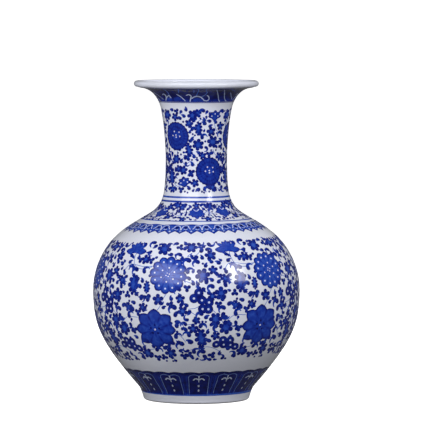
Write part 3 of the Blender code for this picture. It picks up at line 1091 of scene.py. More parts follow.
BELLY_REPEATS = 6
BELLY_LOW = 53.0
BELLY_HIGH = 198.0
BELLY_FIELD = {
    "belly_stems": [(0, 0)],
    "pompom": [(-16.0, 154.5, 8)],
    "lotus": [(-23.6, 92.8)],
    "bell": [(-41.2, 183.6)],
    "side_blossom": [(3.0, 124.5, -10)],
    "low_blossom": [(-44.0, 72.5, -8)],
    "long_leaf_right": [(-37.0, 142.5, 0), (3.0, 83.0, 12), (-28.0, 140.0, 4, 0.6)],
    "round_leaf": [
        (-20.7, 185.5, 0), (3.8, 154, 20), (-45.0, 92, 50), (10.9, 105.5, 10, 0.9), (-3.0, 188, 10, 0.85),
        (-32.3, 62.0, 5, 0.85),
    ],
    "small_leaf": [
        (-21.0, 126.5, 0, 1.1), (-31.5, 171.5, 10), (-7.2, 114.5, 30), (9.0, 177.5, 10, 1.1),
        (13.8, 134.0, 0, 1.25), (9.0, 131.0, 40, 0.9), (-16.0, 63.5, 20, 1.15), (9.8, 160.0, 0, 0.9),
        (-1.6, 94.5, 0, 1.0), (-8.5, 128.0, 0, 0.9), (-30.5, 117.5, 50, 0.9), (11.3, 86.0, 20, 0.9),
        (-39.8, 117.0, 0, 0.9), (-45.5, 146.5, 15, 0.9), (0.3, 104.0, 20, 0.8),
    ],
    "trefoil": [
        (-10.2, 188.0, 40), (-27.6, 170.5, 10), (-4.8, 140.0, 0), (-14.2, 121.5, 20), (-40.5, 130.5, 60),
        (-27.6, 128.5, 20, 1.1), (-37.4, 91.0, 0), (-17.0, 71.5, 30), (-25.6, 56.5, 0, 1.1),
        (-21.0, 57.5, 80), (-7.5, 59.5, 10, 1.1), (-4.0, 61.0, 50, 1.1), (10.2, 61.0, 30, 1.1),
        (12.3, 122.0, 0), (-33.5, 112.0, 0),
    ],
    "curl_right": [
        (-28.2, 191.5, 20), (-3.6, 168.5, 0, 1.15), (1.6, 167.0, 0), (-38.8, 157.0, -40), (-31.8, 138.0, 0),
        (-11.2, 115.5, 0, 1.15), (-37.2, 112.0, -30), (3.4, 109.0, 0), (-7.8, 73.0, 0, 1.15),
        (-12.8, 74.5, 20), (-29.8, 75.5, 0, 1.1), (5.4, 63.0, 10, 1.15), (-9.2, 176.0, 0, 0.9),
        (4.9, 144.5, -60), (9.6, 139.0, 0), (-8.7, 136.0, 0), (-39.0, 55.0, -90), (-4.6, 84.5, -50),
        (12.6, 97.0, 60), (15.8, 115.5, 0), (2.0, 182.0, -80),
    ],
    "curl_left": [
        (-44.5, 137.5, 70), (-38.6, 105.5, 80), (-3.8, 156.0, 60), (-29.4, 156.0, 80), (-10.8, 107.5, 40),
        (-9.8, 95.5, 60), (-10.6, 82.5, 60), (2.8, 95.0, 30), (-44.2, 116.0, 0), (-24.6, 64.5, 30),
        (0.0, 63.5, 70), (8.2, 97.0, 0, 0.9), (-32.0, 128.0, -30, 0.9), (6.6, 183.0, 0, 0.9),
    ],
    "comma_right": [
        (-42.8, 173.0, 0), (-37.6, 171.0, -50), (-29.6, 177.5, 20), (-11.8, 192.5, 60), (-7.2, 190.5, -30),
        (3.2, 172.5, -40), (9.5, 167.5, 0), (-2.0, 143.0, -40), (2.0, 137.5, 0), (11.6, 153.0, -30),
        (9.2, 146.5, 0), (-31.0, 125.0, 0), (-35.5, 120.0, 10), (-4.8, 118.5, 0), (-1.8, 103.5, -90),
        (-5.8, 91.0, -20), (-2.8, 75.5, 0, 1.35), (2.6, 74.5, 180, 1.2), (-19.5, 67.5, -20),
        (-41.8, 63.0, 0), (-36.6, 80.0, 0), (-27.6, 70.0, -60), (13.8, 166.0, 0, 1.1), (6.2, 133.0, -60),
        (-23.6, 173.8, 60, 0.7), (8.0, 77.5, 0, 1.1), (-45.0, 101.5, 0), (14.4, 125.0, -20),
    ],
    "comma_left": [
        (-42.6, 165.0, 10), (-43.6, 153.0, 70), (-34.8, 129.5, 0), (-34.2, 167.5, 60), (-6.4, 184.0, 40),
        (-12.5, 126.5, 70), (-7.8, 119.0, 20), (-9.8, 64.5, 0), (-35.4, 54.5, 90), (-33.4, 67.0, 20),
        (12.6, 144.5, 10), (6.2, 163.0, 40), (14.2, 156.0, 180), (10.4, 55.5, 120), (-38.4, 88.0, 30),
        (4.6, 187.0, 0, 0.9), (-46.0, 57.5, 60), (-1.0, 56.8, 100, 0.8), (-30.2, 56.5, 0, 0.9),
        (-14.4, 56.5, 90, 0.9), (-18.2, 116.0, 0, 0.9), (-26.8, 151.0, 0, 0.8),
    ],
}
LEAFAGE = ("leaf", "trefoil", "curl", "comma")


def resized(field, share):
    """The same field with its leaves and small strokes drawn to a share of their size."""
    result = {}
    for kind, places in field.items():
        scale = share if any(word in kind for word in LEAFAGE) else 1.0
        full = [(*place, *(0.0, 1.0)[len(place) - 2:]) for place in places]
        result[kind] = [(angle, length, turn, size * scale) for angle, length, turn, size in full]
    return result


BELLY_FIELD = resized(BELLY_FIELD, 0.90)
FLOWERS = ("belly_stems", "pompom", "lotus", "bell", "side_blossom", "low_blossom")
BELLY_SWAY = {"drift": 2.3, "phase": 15.0, "lean": 3.9}
painted("belly_flowers", {kind: BELLY_FIELD[kind] for kind in FLOWERS}, BELLY_REPEATS, **BELLY_SWAY)
LEAVES = {kind: places for kind, places in BELLY_FIELD.items() if kind not in FLOWERS}
painted("belly_leaves", LEAVES, BELLY_REPEATS, **BELLY_SWAY)

# %% [markdown]
# ## Filling what is left bare
# A decorator ends by dropping curls, commas and single touches into every gap. The same is done here: each
# motif is known by the round spots that it covers, and a small one is laid down wherever its own spot is
# free.

# %% Small strokes in the gaps
# round spots (x, y, radius) of each motif, about its own middle
ROOM = {
    "pompom": ((0.0, 0.0, 22.6),),
    "lotus": ((0.0, 0.0, 25.0),),
    "bell": ((-9.0, 0.0, 7.0), (9.0, 0.0, 7.0), (0.0, 4.0, 8.0)),
    "side_blossom": ((-5.0, 4.0, 9.5), (5.0, -3.0, 10.0)),
    "low_blossom": ((-9.0, 0.0, 8.5), (0.0, 1.0, 8.5), (9.0, 0.0, 8.5)),
    "long_leaf": ((0.0, -6.5, 6.0), (0.0, 0.5, 7.2), (1.5, 8.5, 5.6)),
    "round_leaf": ((0.0, 0.0, 8.9),),
    "small_leaf": ((0.0, 0.0, 6.4),),
    "trefoil": ((0.0, 0.0, 4.7),),
    "curl": ((-1.0, 2.2, 2.9), (-4.8, 3.4, 1.5), (-7.0, 0.5, 1.1), (-6.0, -2.6, 0.9)),
    "comma": ((-0.6, 1.9, 2.7), (-3.7, 4.1, 1.3)),
    "berry": ((0.0, 0.0, 1.7),),
    "rosette": ((0.0, 0.0, 16.8),),
    "half_blossom": ((0.0, 1.0, 8.5),),
    "ring_blossom": ((0.0, 0.0, 4.8),),
    "upright_lotus": ((0.0, -1.0, 10.0),),
    "reed": ((0.0, 2.5, 2.0), (0.0, -2.5, 2.4)),
}


def spots_of(kind, angle, length, turn=0.0, size=1.0):
    """The round spots that a motif covers, as (angle in degrees, length, radius)."""
    hand = -1 if kind.endswith("_left") else 1
    lean = math.radians(turn)
    for x, y, radius in ROOM.get(kind.removesuffix("_left").removesuffix("_right"), ()):
        across = (hand * x * math.cos(lean) - y * math.sin(lean)) * size
        up = (hand * x * math.sin(lean) + y * math.cos(lean)) * size
        yield angle + math.degrees(across / (wall(length * MM).x / MM)), length + up, radius * size


def is_free(spot, taken, span):
    """Whether a spot is clear of the taken ones and of their copies on either side."""
    angle, length, radius = spot
    around = wall(length * MM).x / MM
    for other, height, reach in taken:
        if abs(height - length) < reach + radius:
            apart = math.radians((angle - other + span / 2) % span - span / 2) * around
            if math.hypot(apart, height - length) < reach + radius:
                return False
    return True


HANDS = ("_left", "_right")
# stroke, its hands, share of the tries, share of the full size
GAP_STROKES = (
    ("curl", HANDS, 1.0, 1.0),
    ("curl", HANDS, 1.0, 0.80),
    ("comma", HANDS, 1.0, 0.95),
    ("comma", HANDS, 1.0, 0.72),
    ("berry", ("",), 0.4, 0.9),
)
EDGE_SHARE = 0.25
EDGE_INSET = 3.0


def fill_gaps(field, repeats, low, high, seed, tries, size, margin=0.1):
    """New small strokes for one share of a field that repeats round the vase, between two lengths."""
    span = 360 / repeats
    chance = random.Random(seed)
    taken = [spot for kind, places in field.items() for place in places for spot in spots_of(kind, *place)]
    added = {}
    for stroke, hands, share, part in GAP_STROKES:
        for _ in range(round(tries * share)):
            kind = stroke + chance.choice(hands)
            scale = size * part * chance.uniform(0.92, 1.06)
            length = chance.uniform(low, high)
            if chance.random() < EDGE_SHARE:
                length = chance.choice((low + EDGE_INSET * size, high - EDGE_INSET * size))
            place = (chance.uniform(0.0, span), length, chance.uniform(-180.0, 180.0), scale)
            spots = list(spots_of(kind, *place))
            inside = all(low <= length - radius and length + radius <= high for _, length, radius in spots)
            if inside and all(is_free((a, s, r + margin), taken, span) for a, s, r in spots):
                taken += spots
                added.setdefault(kind, []).append(place)
    print("filled with", {kind: len(places) for kind, places in sorted(added.items())})
    return added


BELLY_TOUCHES = fill_gaps(BELLY_FIELD, BELLY_REPEATS, BELLY_LOW, BELLY_HIGH, seed=5, tries=2600, size=0.95)
painted("belly_touches", BELLY_TOUCHES, BELLY_REPEATS, **BELLY_SWAY)

# %% [markdown]
# ## The lappets at the foot
# Round the foot stands a row of upright panels, each with a light outline, a small hanging pendant and two
# drops. Their ground is a full load of cobalt, painted as a grid that closes on its neighbours, with a soft
# wavy top.

# %% Foot lappets
LAPPETS = 15
LAPPET_FIRST = 2.3
LAPPET_EDGE = (
    (8.9, 1.2), (8.8, 10), (8.5, 20), (8.2, 28.2), (6.6, 30.8), (4.0, 31.8), (1.6, 30.9), (0.0, 29.6),
)


def ground(motif, half, bottom, top, tone, columns, rows, lift=WASH_LIFT):
    """A painted ground between two edges that depend on the angle, as wide as its share of the vase."""
    sheet, tones = [], []
    for row in range(rows + 1):
        for column in range(columns + 1):
            angle = half * (2 * column / columns - 1)
            length = bottom(angle) + (top(angle) - bottom(angle)) * row / rows
            sheet.append(on_wall(angle, length))
            tones.append(tone(angle, length))
    wide = columns + 1
    corners = [row * wide + column for row in range(rows) for column in range(columns)]
    faces = [(c, c + 1, c + 1 + wide, c + wide) for c in corners]
    last = rows * wide
    low, right = range(columns), range(columns, last, wide)
    rim = [*low, *right, *range(last + columns, last, -1), *range(last, 0, -wide)]
    motif.slab(sheet, faces, rim, tones, lift)


def line_on_wall(motif, places, width, tone, lift=STROKE_LIFT, steps=6):
    width = width if callable(width) else steady(width)
    motif.stroke(list(smooth_path([on_wall(*place) for place in places], steps)), width, steady(tone), lift)


def lappet_tone(angle, length):
    if length > 32.2:
        return 1.0
    if abs(angle) > 9.4:
        return 0.90 if abs(angle) > 11.9 else 0.76
    if length > 30.5:
        return 0.84
    return 0.97 if abs(angle) > 6.0 else 0.92


def make_lappet():
    lappet = Motif()
    half = 180 / LAPPETS
    ground(lappet, half, steady(0.8), lambda angle: 34.6 + 1.3 * abs(math.sin(math.radians(angle * LAPPETS))),
           lappet_tone, 12, 14)
    for side in (-1, 1):
        line_on_wall(lappet, [(side * a, s) for a, s in LAPPET_EDGE], 0.62, 0.32)
        tassel = [(side * 0.2, 24.0), (side * 2.6, 25.9), (side * 4.7, 23.2)]
        line_on_wall(lappet, tassel, 1.7, 0.10, DOT_LIFT)
        lappet.dot(*on_wall(side * 3.5, 28.0), 2.1, 1.0, DOT_LIFT, 12)
        line_on_wall(lappet, [(side * 10.6, 1.2), (side * 10.4, 18), (side * 10.0, 29)], 0.5, 0.66)
    line_on_wall(lappet, [(0, 30.2), (0, 26), (0, 20.2)], lambda share: 1.6 - 0.8 * share, 0.10, DOT_LIFT)
    for length in (6.8, 14.2):
        drop = [(0, length - 1.7), (0, length + 1.7)]
        line_on_wall(lappet, drop, lambda share: 1.9 - 1.2 * abs(2 * share - 1) ** 2, 0.10, DOT_LIFT)
    lappet.done("lappet")


make_lappet()
painted("foot_lappets", {"lappet": [(LAPPET_FIRST, 0)]}, LAPPETS, lean=0.8)

# %% [markdown]
# ## Ruled lines
# The decorator rules a line by holding a loaded brush still against the turning vase. Each is a thin ring
# that follows the wall, made on the same wheel as the clay.

# %% Ruled lines
def ruled(name, start, end, tone):
    steps = max(2, round((end - start) / 1.2))
    stations = [(start + (end - start) * i / steps) * MM for i in range(steps + 1)]
    outer = [wall(s, -WASH_LIFT * MM) for s in reversed(stations)]
    inner = [wall(s, SINK * MM) for s in stations]
    ring = turned(name, outer + inner, COBALT, "glazed_porcelain")
    pigment = ring.data.attributes.new("pigment", "FLOAT", "POINT")
    pigment.data.foreach_set("value", [tone] * len(ring.data.vertices))


# name, start and end in mm along the wall, tone
RULED_LINES = (
    ("line_foot", -0.9, 1.7, 0.50),
    ("line_collar_low", 231.0, 232.8, 0.54),
    ("line_collar_high", 262.2, 264.4, 0.64),
    ("line_neck", 267.2, 269.3, 0.56),
    ("line_mouth", 374.9, 375.7, 0.80),
)
for ruled_line in RULED_LINES:
    ruled(*ruled_line)

# %% [markdown]
# ## Cloud heads round the shoulder
# A narrow border of cloud heads closes the belly field above: a pale outline round two dark curls, with a
# small point below. It repeats twenty times.

# %% Cloud-head border
CLOUD_HEADS = 20
CLOUD_FIRST = -3.8


def cloud_foot(angle):
    """The lower edge: a deep point under each head and a smaller one between two heads."""
    share = abs(angle) * CLOUD_HEADS / 180
    if share < 0.5:
        return 207.6 + 5.6 * (2 * share) ** 0.85
    return 208.6 + 4.6 * (2 - 2 * share) ** 0.85


def cloud_tone(angle, length):
    return 0.56 + 0.28 * ridge(length, cloud_foot(angle), 3.2) + 0.12 * (length > 224)


CLOUD_ARCH = (
    (8.8, 215.0), (8.3, 219.4), (7.0, 222.6), (5.1, 223.4), (3.2, 222.4), (2.4, 219.4), (0.9, 216.6),
)


def make_cloud_head():
    head = Motif()
    half = 180 / CLOUD_HEADS
    ground(head, half, cloud_foot, lambda angle: 225.4 + 0.6 * math.cos(math.radians(angle * CLOUD_HEADS)),
           cloud_tone, 16, 10)
    for side in (-1, 1):
        line_on_wall(head, [(side * a, s) for a, s in CLOUD_ARCH], 0.9, 0.10)
        head.dot(*on_wall(side * 5.2, 219.6), 2.0, 0.97, STROKE_LIFT, 10)
        line_on_wall(head, [(side * 6.6, 216.8), (side * 4.9, 215.6), (side * 3.4, 216.8)], 0.7, 0.14)
        head.dot(*on_wall(side * 8.6, 212.4), 0.7, 0.20)
    head.dot(*on_wall(0.0, 212.8), 1.1, 0.12)
    head.done("cloud_head")


make_cloud_head()
painted("cloud_border", {"cloud_head": [(CLOUD_FIRST, 0)]}, CLOUD_HEADS, lean=1.6)

# %% [markdown]
# ## The collar
# Between two ruled lines at the foot of the neck runs a narrow scroll with an upright lotus twice in each
# quarter.

# %% Collar scroll
COLLAR_TIPS = [
    (25, 8.6), (72, 9.4), (108, 9.4), (155, 8.6), (197, 10.2), (232, 8.8), (270, 11.6), (308, 8.8),
    (343, 10.2),
]
upright = Motif()
upright.wash(petals(COLLAR_TIPS, 7.0, 0.6), petal_lines(COLLAR_TIPS, 0.62, 0.80, 0.92), 54, COARSE_RINGS)
upright.stroke(list(smooth_path([(-3.2, 6.2), (0.0, 3.4), (3.2, 6.2)])), taper(1.4), steady(0.12))
upright.done("upright_lotus")
reed = Motif()
reed.stroke([(0.4 * math.sin(t / 2), 5.5 - 1.1 * t) for t in range(11)], taper(2.6, 0.6, 0.7), steady(0.80))
reed.done("reed")

stems("collar_stems", [
    [(-8, 246), (-14, 249), (-22, 243), (-30, 247)],
    [(9, 246), (15, 250), (22, 247), (29, 249)],
    [(-28, 255), (-22, 249), (-18, 240), (-12, 236)],
    [(14, 239), (18, 245), (17, 252), (22, 258)],
    [(-38, 241), (-33, 247), (-35, 254)],
])

COLLAR_REPEATS = 4
COLLAR_LEAN = 1.6
COLLAR_LOW = 233.6
COLLAR_HIGH = 261.4
COLLAR = {
    "collar_stems": [(0, 0)],
    "upright_lotus": [(0.5, 247.5, 4), (39.0, 249.5, -12)],
    "small_leaf": [
        (-21.5, 256.0, 0, 0.9), (-29.5, 258.5, 20, 0.9), (13.5, 237.0, 0, 0.9), (-35.0, 239.5, 10, 0.9),
        (21.5, 258.3, 40, 0.9), (0.0, 258.5, 10, 0.8), (-15.0, 236.0, 60, 0.8), (-42.0, 256.5, 20, 0.9),
    ],
    "trefoil": [(15.5, 258.5, 0), (-24.5, 251.0, 30, 0.9), (-39.5, 245.0, 50, 0.9), (27.5, 257.5, 10, 0.9)],
    "reed": [
        (-13.3, 247.0, 6), (-27.0, 249.0, 10), (-20.0, 246.5, 35, 0.8), (23.0, 243.5, 20, 0.9),
        (-31.5, 244.0, 10, 0.8), (16.3, 246.0, -10, 0.7),
    ],
    "comma_right": [
        (-9.0, 255.0, -20, 0.9), (10.6, 252.0, -20, 0.9), (15.7, 255.0, 0, 0.8), (-33.5, 251.0, 0),
        (-9.0, 237.5, 0, 0.8), (29.0, 238.3, 10, 0.9), (-25.5, 236.5, 0, 0.8), (6.5, 236.0, -40, 0.8),
    ],
    "comma_left": [
        (-21.5, 237.5, -20, 0.9), (-29.0, 239.8, 30, 0.9), (-4.5, 235.0, 90, 0.8), (-12.0, 252.0, 10, 0.9),
        (9.5, 240.0, 40, 0.8), (-37.0, 235.5, 60, 0.8), (35.0, 237.0, 60, 0.9), (29.5, 255.0, 0, 0.8),
    ],
    "curl_right": [(24.3, 252.0, 0, 0.85), (-14.5, 258.0, 20, 0.8)],
    "curl_left": [(18.5, 250.5, 30, 0.8), (-37.0, 258.0, 0, 0.8), (7.5, 257.0, 20, 0.8)],
}
COLLAR = resized(COLLAR, 0.80)
painted("collar_scroll", COLLAR, COLLAR_REPEATS, lean=COLLAR_LEAN)
COLLAR_TOUCHES = fill_gaps(COLLAR, COLLAR_REPEATS, COLLAR_LOW, COLLAR_HIGH, seed=8, tries=800, size=0.70)
painted("collar_touches", COLLAR_TOUCHES, COLLAR_REPEATS, lean=COLLAR_LEAN)

# %% [markdown]
# ## The scroll on the neck
# The neck has a scroll of its own that repeats three times: two round rosettes, one high and one low, with
# half blossoms at the edges and lobed leaves between.

# %% Neck scroll
ROSETTE_TIPS = [(d, 16.4) for d in range(0, 360, 15)]


def rosette_tone(angle, share):
    rays = 0.5 + 0.5 * math.cos(24 * angle)
    dark = max(ridge(share, 1.0, 0.14), 0.35 * ridge(share, 0.66, 0.10), 0.6 * ridge(share, 0.38, 0.10))
    return 0.66 + 0.12 * rays * (share > 0.4) + 0.27 * dark


rosette = Motif()
ROSETTE_RINGS = (0.2, 0.3, 0.38, 0.48, 0.58, 0.66, 0.76, 0.88, 0.95, 1.0)
rosette.wash(petals(ROSETTE_TIPS, 15.0, 0.6), rosette_tone, 72, ROSETTE_RINGS)
for x, y in ((-0.2, 1.0), (0.0, -1.4), (-4.8, 0.4), (4.8, -0.4), (-2.4, 5.0), (4.2, 4.4)):
    rosette.dot(x, y, 0.85)
rosette.done("rosette")

FAN_TIPS = [(5, 8.8), (35, 8.0), (90, 7.6), (145, 8.0), (175, 8.8), (225, 4.4), (315, 4.4)]
fan = Motif()
fan.wash(petals(FAN_TIPS, 5.0, 0.6), petal_lines(FAN_TIPS, 0.66, 0.84, 0.94), 42, (0.35, 0.7, 1.0))
for x, y in ((-4.0, 0.5), (0.0, 3.0), (4.0, 0.5)):
    fan.dot(x, y, 0.8, 0.10)
fan.done("half_blossom")
open_blossom("ring_blossom", [(0, 0)], 4.2)

stems("neck_stems", [
    [(-36, 322), (-38, 317), (-40, 310)],
    [(-28, 309), (-20, 305), (-10, 309), (-2, 304)],
    [(56, 341), (44, 341), (36, 346), (32, 354)],
    [(-46, 285), (-38, 281), (-30, 281), (-24, 283)],
    [(2, 353), (10, 356), (16, 351)],
    [(32, 322), (38, 316), (46, 314), (52, 309)],
    [(-60, 352), (-66, 348), (-72, 350)],
    [(44, 290), (50, 282), (44, 278), (36, 280)],
])

NECK_REPEATS = 3
NECK_LOW = 272.5
NECK_HIGH = 367.5
NECK = {
    "neck_stems": [(0, 0)],
    "rosette": [(-38.6, 337.0), (25.2, 297.3)],
    "half_blossom": [(33.0, 359.0), (-22.5, 284.5, 10)],
    "ring_blossom": [(-60.5, 313.5)],
    "round_leaf": [
        (31.5, 330.5, 0, 0.95), (3.5, 327.5, 30, 0.88), (-40.0, 311.0, 10, 0.75), (-5.5, 360.5, 15, 0.85),
        (-56.5, 361.0, 0, 0.85), (-25.0, 298.8, 20, 0.72),
    ],
    "long_leaf_right": [(3.8, 345.5, 0, 0.72), (-51.5, 291.5, 10, 0.9)],
    "long_leaf_left": [(-13.2, 321.5, 10, 0.72)],
    "small_leaf": [
        (27.5, 342.0, 10, 1.05), (46.5, 348.0, 0, 0.95), (-38.0, 358.5, 30, 0.9), (1.5, 362.5, 0, 0.95),
        (-2.5, 284.5, 20, 0.9), (47.0, 314.0, 30, 0.95), (-47.5, 277.5, 0, 0.9), (31.0, 279.5, 40, 0.9),
        (-34.5, 300.5, 20, 0.8), (12.0, 315.0, 10, 0.85), (54.5, 299.0, 20, 0.9), (-12.5, 351.5, 50, 0.9),
    ],
    "trefoil": [
        (-28.0, 277.0, 0), (-16.0, 313.5, 20, 1.1), (57.0, 309.0, 10), (-34.0, 365.0, 20, 0.9),
        (-8.5, 296.5, 0), (51.0, 325.0, 30), (24.5, 316.5, 0), (-55.0, 303.0, 20), (-62.0, 298.0, 40, 1.2),
    ],
    "comma_right": [
        (-10.0, 346.0, 0, 1.1), (-20.0, 357.5, 0), (-19.0, 365.5, -60), (-40.5, 365.0, 30),
        (-27.5, 355.0, 0), (15.5, 349.0, 0, 1.1), (6.0, 316.0, 0), (33.0, 316.5, 30), (-5.0, 312.0, -30),
        (-22.5, 310.5, -40), (-8.0, 303.0, -30), (25.5, 352.0, 20), (36.5, 350.5, 0), (7.5, 276.5, 60, 1.1),
        (47.5, 281.0, 0, 1.1), (-13.5, 276.5, -20), (-53.5, 276.0, 30), (51.0, 330.5, 0), (7.5, 337.5, 0),
        (-57.0, 283.0, 0), (40.0, 277.0, 80, 0.9), (12.5, 353.0, -40), (39.5, 323.0, -30, 0.8),
    ],
    "comma_left": [
        (-28.0, 306.5, 30), (-38.0, 297.5, 70), (-11.5, 329.5, 0), (-36.0, 277.0, 90),
        (17.0, 276.0, 60, 0.9), (24.0, 346.0, 0), (57.0, 285.5, 60, 1.1), (-6.5, 331.5, 30),
        (56.5, 356.0, 30), (-5.0, 352.5, 0), (-33.0, 320.0, 0), (-44.0, 320.5, 0), (-13.0, 291.5, 0, 0.9),
        (24.5, 361.0, 60, 0.7), (-48.5, 305.0, 0, 0.9), (-10.0, 340.0, 40, 0.8), (-56.0, 345.0, 40, 0.8),
    ],
    "curl_right": [(13.0, 363.5, 0), (25.5, 277.0, 0, 1.0), (50.0, 362.5, 0), (-8.5, 291.0, -40, 0.8)],
    "curl_left": [(-6.5, 342.5, 30, 0.9), (44.0, 327.5, 20, 0.85), (-58.5, 307.0, 30, 0.8)],
}
NECK = resized(NECK, 0.82)
NECK_TOUCHES = fill_gaps(NECK, NECK_REPEATS, NECK_LOW, NECK_HIGH, seed=11, tries=1600, size=0.80)
painted("neck_scroll", NECK, NECK_REPEATS)
painted("neck_touches", NECK_TOUCHES, NECK_REPEATS)

# %% [markdown]
# ## Waves under the mouth
# The darkest band lies under the flare: rocks and breaking waves, left light on a full load of cobalt. The
# ground is twenty-four plain panels; the waves are long strokes laid over it in three repeats.

# %% Mouth band
WAVE_PANELS = 24
WAVE_REPEATS = 3
FLARE_END = LENGTHS[-1] / MM


def water_tone(angle, length):
    return 0.80 if length < 379.5 else 0.97


panel = Motif()
ground(panel, 180 / WAVE_PANELS, steady(376.0), steady(FLARE_END), water_tone, 6, 17)
panel.done("dark_water")

# path in angle and mm along the wall, width in mm, tone
WAVES = (
    ([(-9.0, 376.8), (-7.6, 381.0), (-7.0, 384.2), (-9.8, 386.6), (-13.5, 385.0)], 1.1, 0.14),
    ([(-6.5, 380.6), (-3.0, 382.8), (1.5, 384.0), (6.0, 382.8), (9.6, 380.2)], 1.2, 0.16),
    ([(9.6, 380.2), (12.0, 378.2), (16.4, 377.8), (18.6, 380.0), (17.4, 383.2), (14.6, 385.4)], 1.0, 0.16),
    ([(0.2, 384.6), (1.8, 389.0), (3.0, 395.0), (2.2, 400.6)], 0.9, 0.42),
    ([(8.4, 383.6), (12.6, 386.6), (13.8, 390.0), (11.8, 394.4), (11.0, 400.4)], 0.8, 0.42),
    ([(-26.5, 387.0), (-22.0, 383.4), (-18.4, 379.8), (-16.2, 377.4)], 0.9, 0.16),
    ([(24.0, 396.0), (28.0, 389.5), (31.5, 384.0), (34.5, 379.0), (37.5, 376.6)], 0.9, 0.18),
    ([(34.0, 396.0), (39.5, 388.0), (43.5, 382.0), (47.0, 378.6), (51.0, 376.8)], 0.9, 0.18),
    ([(49.0, 389.5), (54.0, 385.6), (59.0, 382.0), (64.0, 379.0)], 0.9, 0.20),
    ([(-51.0, 377.6), (-47.6, 381.4), (-46.0, 384.6), (-48.6, 387.0), (-52.0, 385.2)], 1.1, 0.14),
    ([(-48.0, 380.6), (-43.0, 383.4), (-39.5, 384.8), (-38.4, 381.0)], 1.2, 0.16),
    ([(-39.5, 384.6), (-38.0, 390.0), (-38.6, 396.0), (-37.0, 400.4)], 0.9, 0.40),
    ([(-22.5, 389.0), (-21.0, 394.0), (-19.0, 400.0)], 0.8, 0.48),
    ([(-3.0, 390.0), (-2.4, 395.0), (-4.0, 400.0)], 0.7, 0.50),
    ([(42.0, 399.0), (48.0, 394.5), (55.0, 392.0)], 0.8, 0.48),
)
waves = Motif()
for path, width, tone in WAVES:
    line_on_wall(waves, path, 1.1 * width, tone - 0.02)
for angle, low, wide in ((1.8, 378.2, 5.0), (-42.5, 378.8, 4.5), (-28.0, 379.5, 5.0)):
    mound = petals([(20, wide), (90, wide * 0.7), (160, wide), (270, 1.6)], wide * 0.55, 0.5)
    waves.wash(mound, steady(0.66), 20, (0.5, 1.0), 0.09, on_wall(angle, low))
waves.done("waves")
painted("mouth_ground", {"dark_water": [(0, 0)]}, WAVE_PANELS)
painted("mouth_waves", {"waves": [(0, 0)]}, WAVE_REPEATS)

# %% [markdown]
# ## Clearing the bench
# The motif library and the outline were only tools, so they are removed at the end.

# %% Remove the helpers
for helper in [*MOTIFS.objects, OUTLINE]:
    bpy.data.objects.remove(helper)
bpy.data.collections.remove(MOTIFS)

# %% [markdown]
# ## Floor, light and camera
# The vase stands on a pale round sweep, a floor that curves up on every side into a backdrop with no edge.

# %% Floor
SWEEP_FLAT = 6.0
SWEEP_BEND = 1.5
SWEEP_TOP = 7.0
SWEEP_SIDES = 96


def make_sweep():
    made, tree, shader = new_material("pale_paper_sweep", 0.9)
    grain = noise(tree, 6.0, 2.0)
    tint = ramp(tree, [(0.3, (0.93, 0.93, 0.93, 1.0)), (0.7, (0.96, 0.96, 0.96, 1.0))])
    tree.links.new(grain.outputs["Fac"], tint.inputs["Fac"])
    tree.links.new(tint.outputs["Color"], shader.inputs["Base Color"])
    shader.inputs["Specular IOR Level"].default_value = 0.0
    shader.inputs["Emission Color"].default_value = (1.0, 1.0, 1.0, 1.0)
    shader.inputs["Emission Strength"].default_value = 0.98
    line = [(SWEEP_FLAT, 0.0)]
    for i in range(1, 13):
        rise = math.radians(7.5 * i)
        line.append((SWEEP_FLAT + SWEEP_BEND * math.sin(rise), SWEEP_BEND * (1 - math.cos(rise))))
    line.append((SWEEP_FLAT + SWEEP_BEND, SWEEP_TOP))
    turns = [math.radians(360 * i / SWEEP_SIDES) for i in range(SWEEP_SIDES)]
    points = [(radius * math.cos(a), radius * math.sin(a), z) for radius, z in line for a in turns]
    faces = [tuple(range(SWEEP_SIDES))]
    for row in range(len(line) - 1):
        for i in range(SWEEP_SIDES):
            after = (i + 1) % SWEEP_SIDES
            low = row * SWEEP_SIDES
            faces.append((low + i, low + SWEEP_SIDES + i, low + SWEEP_SIDES + after, low + after))
    mesh = bpy.data.meshes.new("sweep")
    mesh.from_pydata(points, [], faces)
    mesh.materials.append(made)
    mesh.shade_smooth()
    sweep = placed("sweep", mesh)
    sweep.visible_diffuse = False
    sweep.visible_glossy = False


make_sweep()

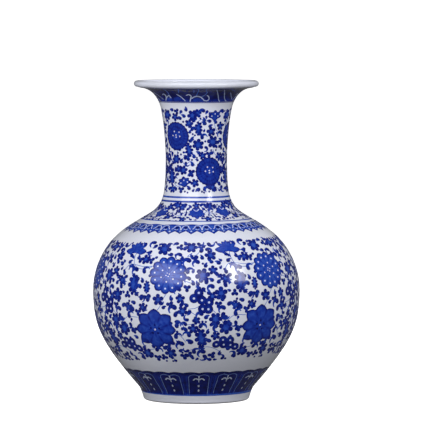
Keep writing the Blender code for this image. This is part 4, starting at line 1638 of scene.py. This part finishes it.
# %% Lights
def soft_box(name, place, aim, width, height, power, mirrored=True):
    light = bpy.data.lights.new(name, "AREA")
    light.shape = "RECTANGLE"
    light.size = width
    light.size_y = height
    light.energy = power
    lamp = placed(name, light)
    lamp.location = place
    lamp.rotation_euler = (Vector(aim) - Vector(place)).to_track_quat("-Z", "Y").to_euler()
    lamp.visible_glossy = mirrored


MIDDLE = (0.0, 0.0, 0.2)
soft_box("left_box", (-0.95, -1.10, 0.95), MIDDLE, 0.75, 0.75, 6.0)
soft_box("right_box", (1.10, -0.95, 0.95), MIDDLE, 0.50, 0.75, 12.0)
soft_box("front_box", (-0.6, -3.2, 1.8), MIDDLE, 2.4, 1.4, 44.0)
soft_box("left_card", (-0.55, -0.45, 0.03), (-0.40, -0.32, 1.03), 0.6, 0.6, 2.6, mirrored=False)
soft_box("left_side_box", (-1.3, 1.4, 0.6), MIDDLE, 1.0, 1.0, 9.0, mirrored=False)
soft_box("right_side_box", (1.3, 1.4, 0.6), MIDDLE, 1.0, 1.0, 9.0, mirrored=False)
soft_box("top_box", (0.0, -0.1, 2.2), MIDDLE, 1.8, 1.8, 7.0)

world = bpy.data.worlds.new("studio_air")
world.use_nodes = True
air = world.node_tree.nodes["Background"]
air.inputs["Color"].default_value = (1.0, 1.0, 1.0, 1.0)
air.inputs["Strength"].default_value = 0.10
bpy.context.scene.world = world
bpy.context.scene.view_settings.view_transform = "Standard"

# %% Camera
CAMERA_DISTANCE = 4.3
CAMERA_HEIGHT = 0.473
CAMERA_SIDE = 0.021
AIM_HEIGHT = 0.208
FIELD = math.radians(6.44)
lens = bpy.data.cameras.new("camera")
lens.sensor_width = 36.0
lens.lens = lens.sensor_width / 2 / math.tan(FIELD / 2)
lens.clip_end = 60.0
camera = placed("camera", lens)
camera.location = (CAMERA_SIDE, -CAMERA_DISTANCE, CAMERA_HEIGHT)
look = Vector((CAMERA_SIDE, 0.0, AIM_HEIGHT)) - camera.location
camera.rotation_euler = look.to_track_quat("-Z", "Y").to_euler()
bpy.context.scene.camera = camera
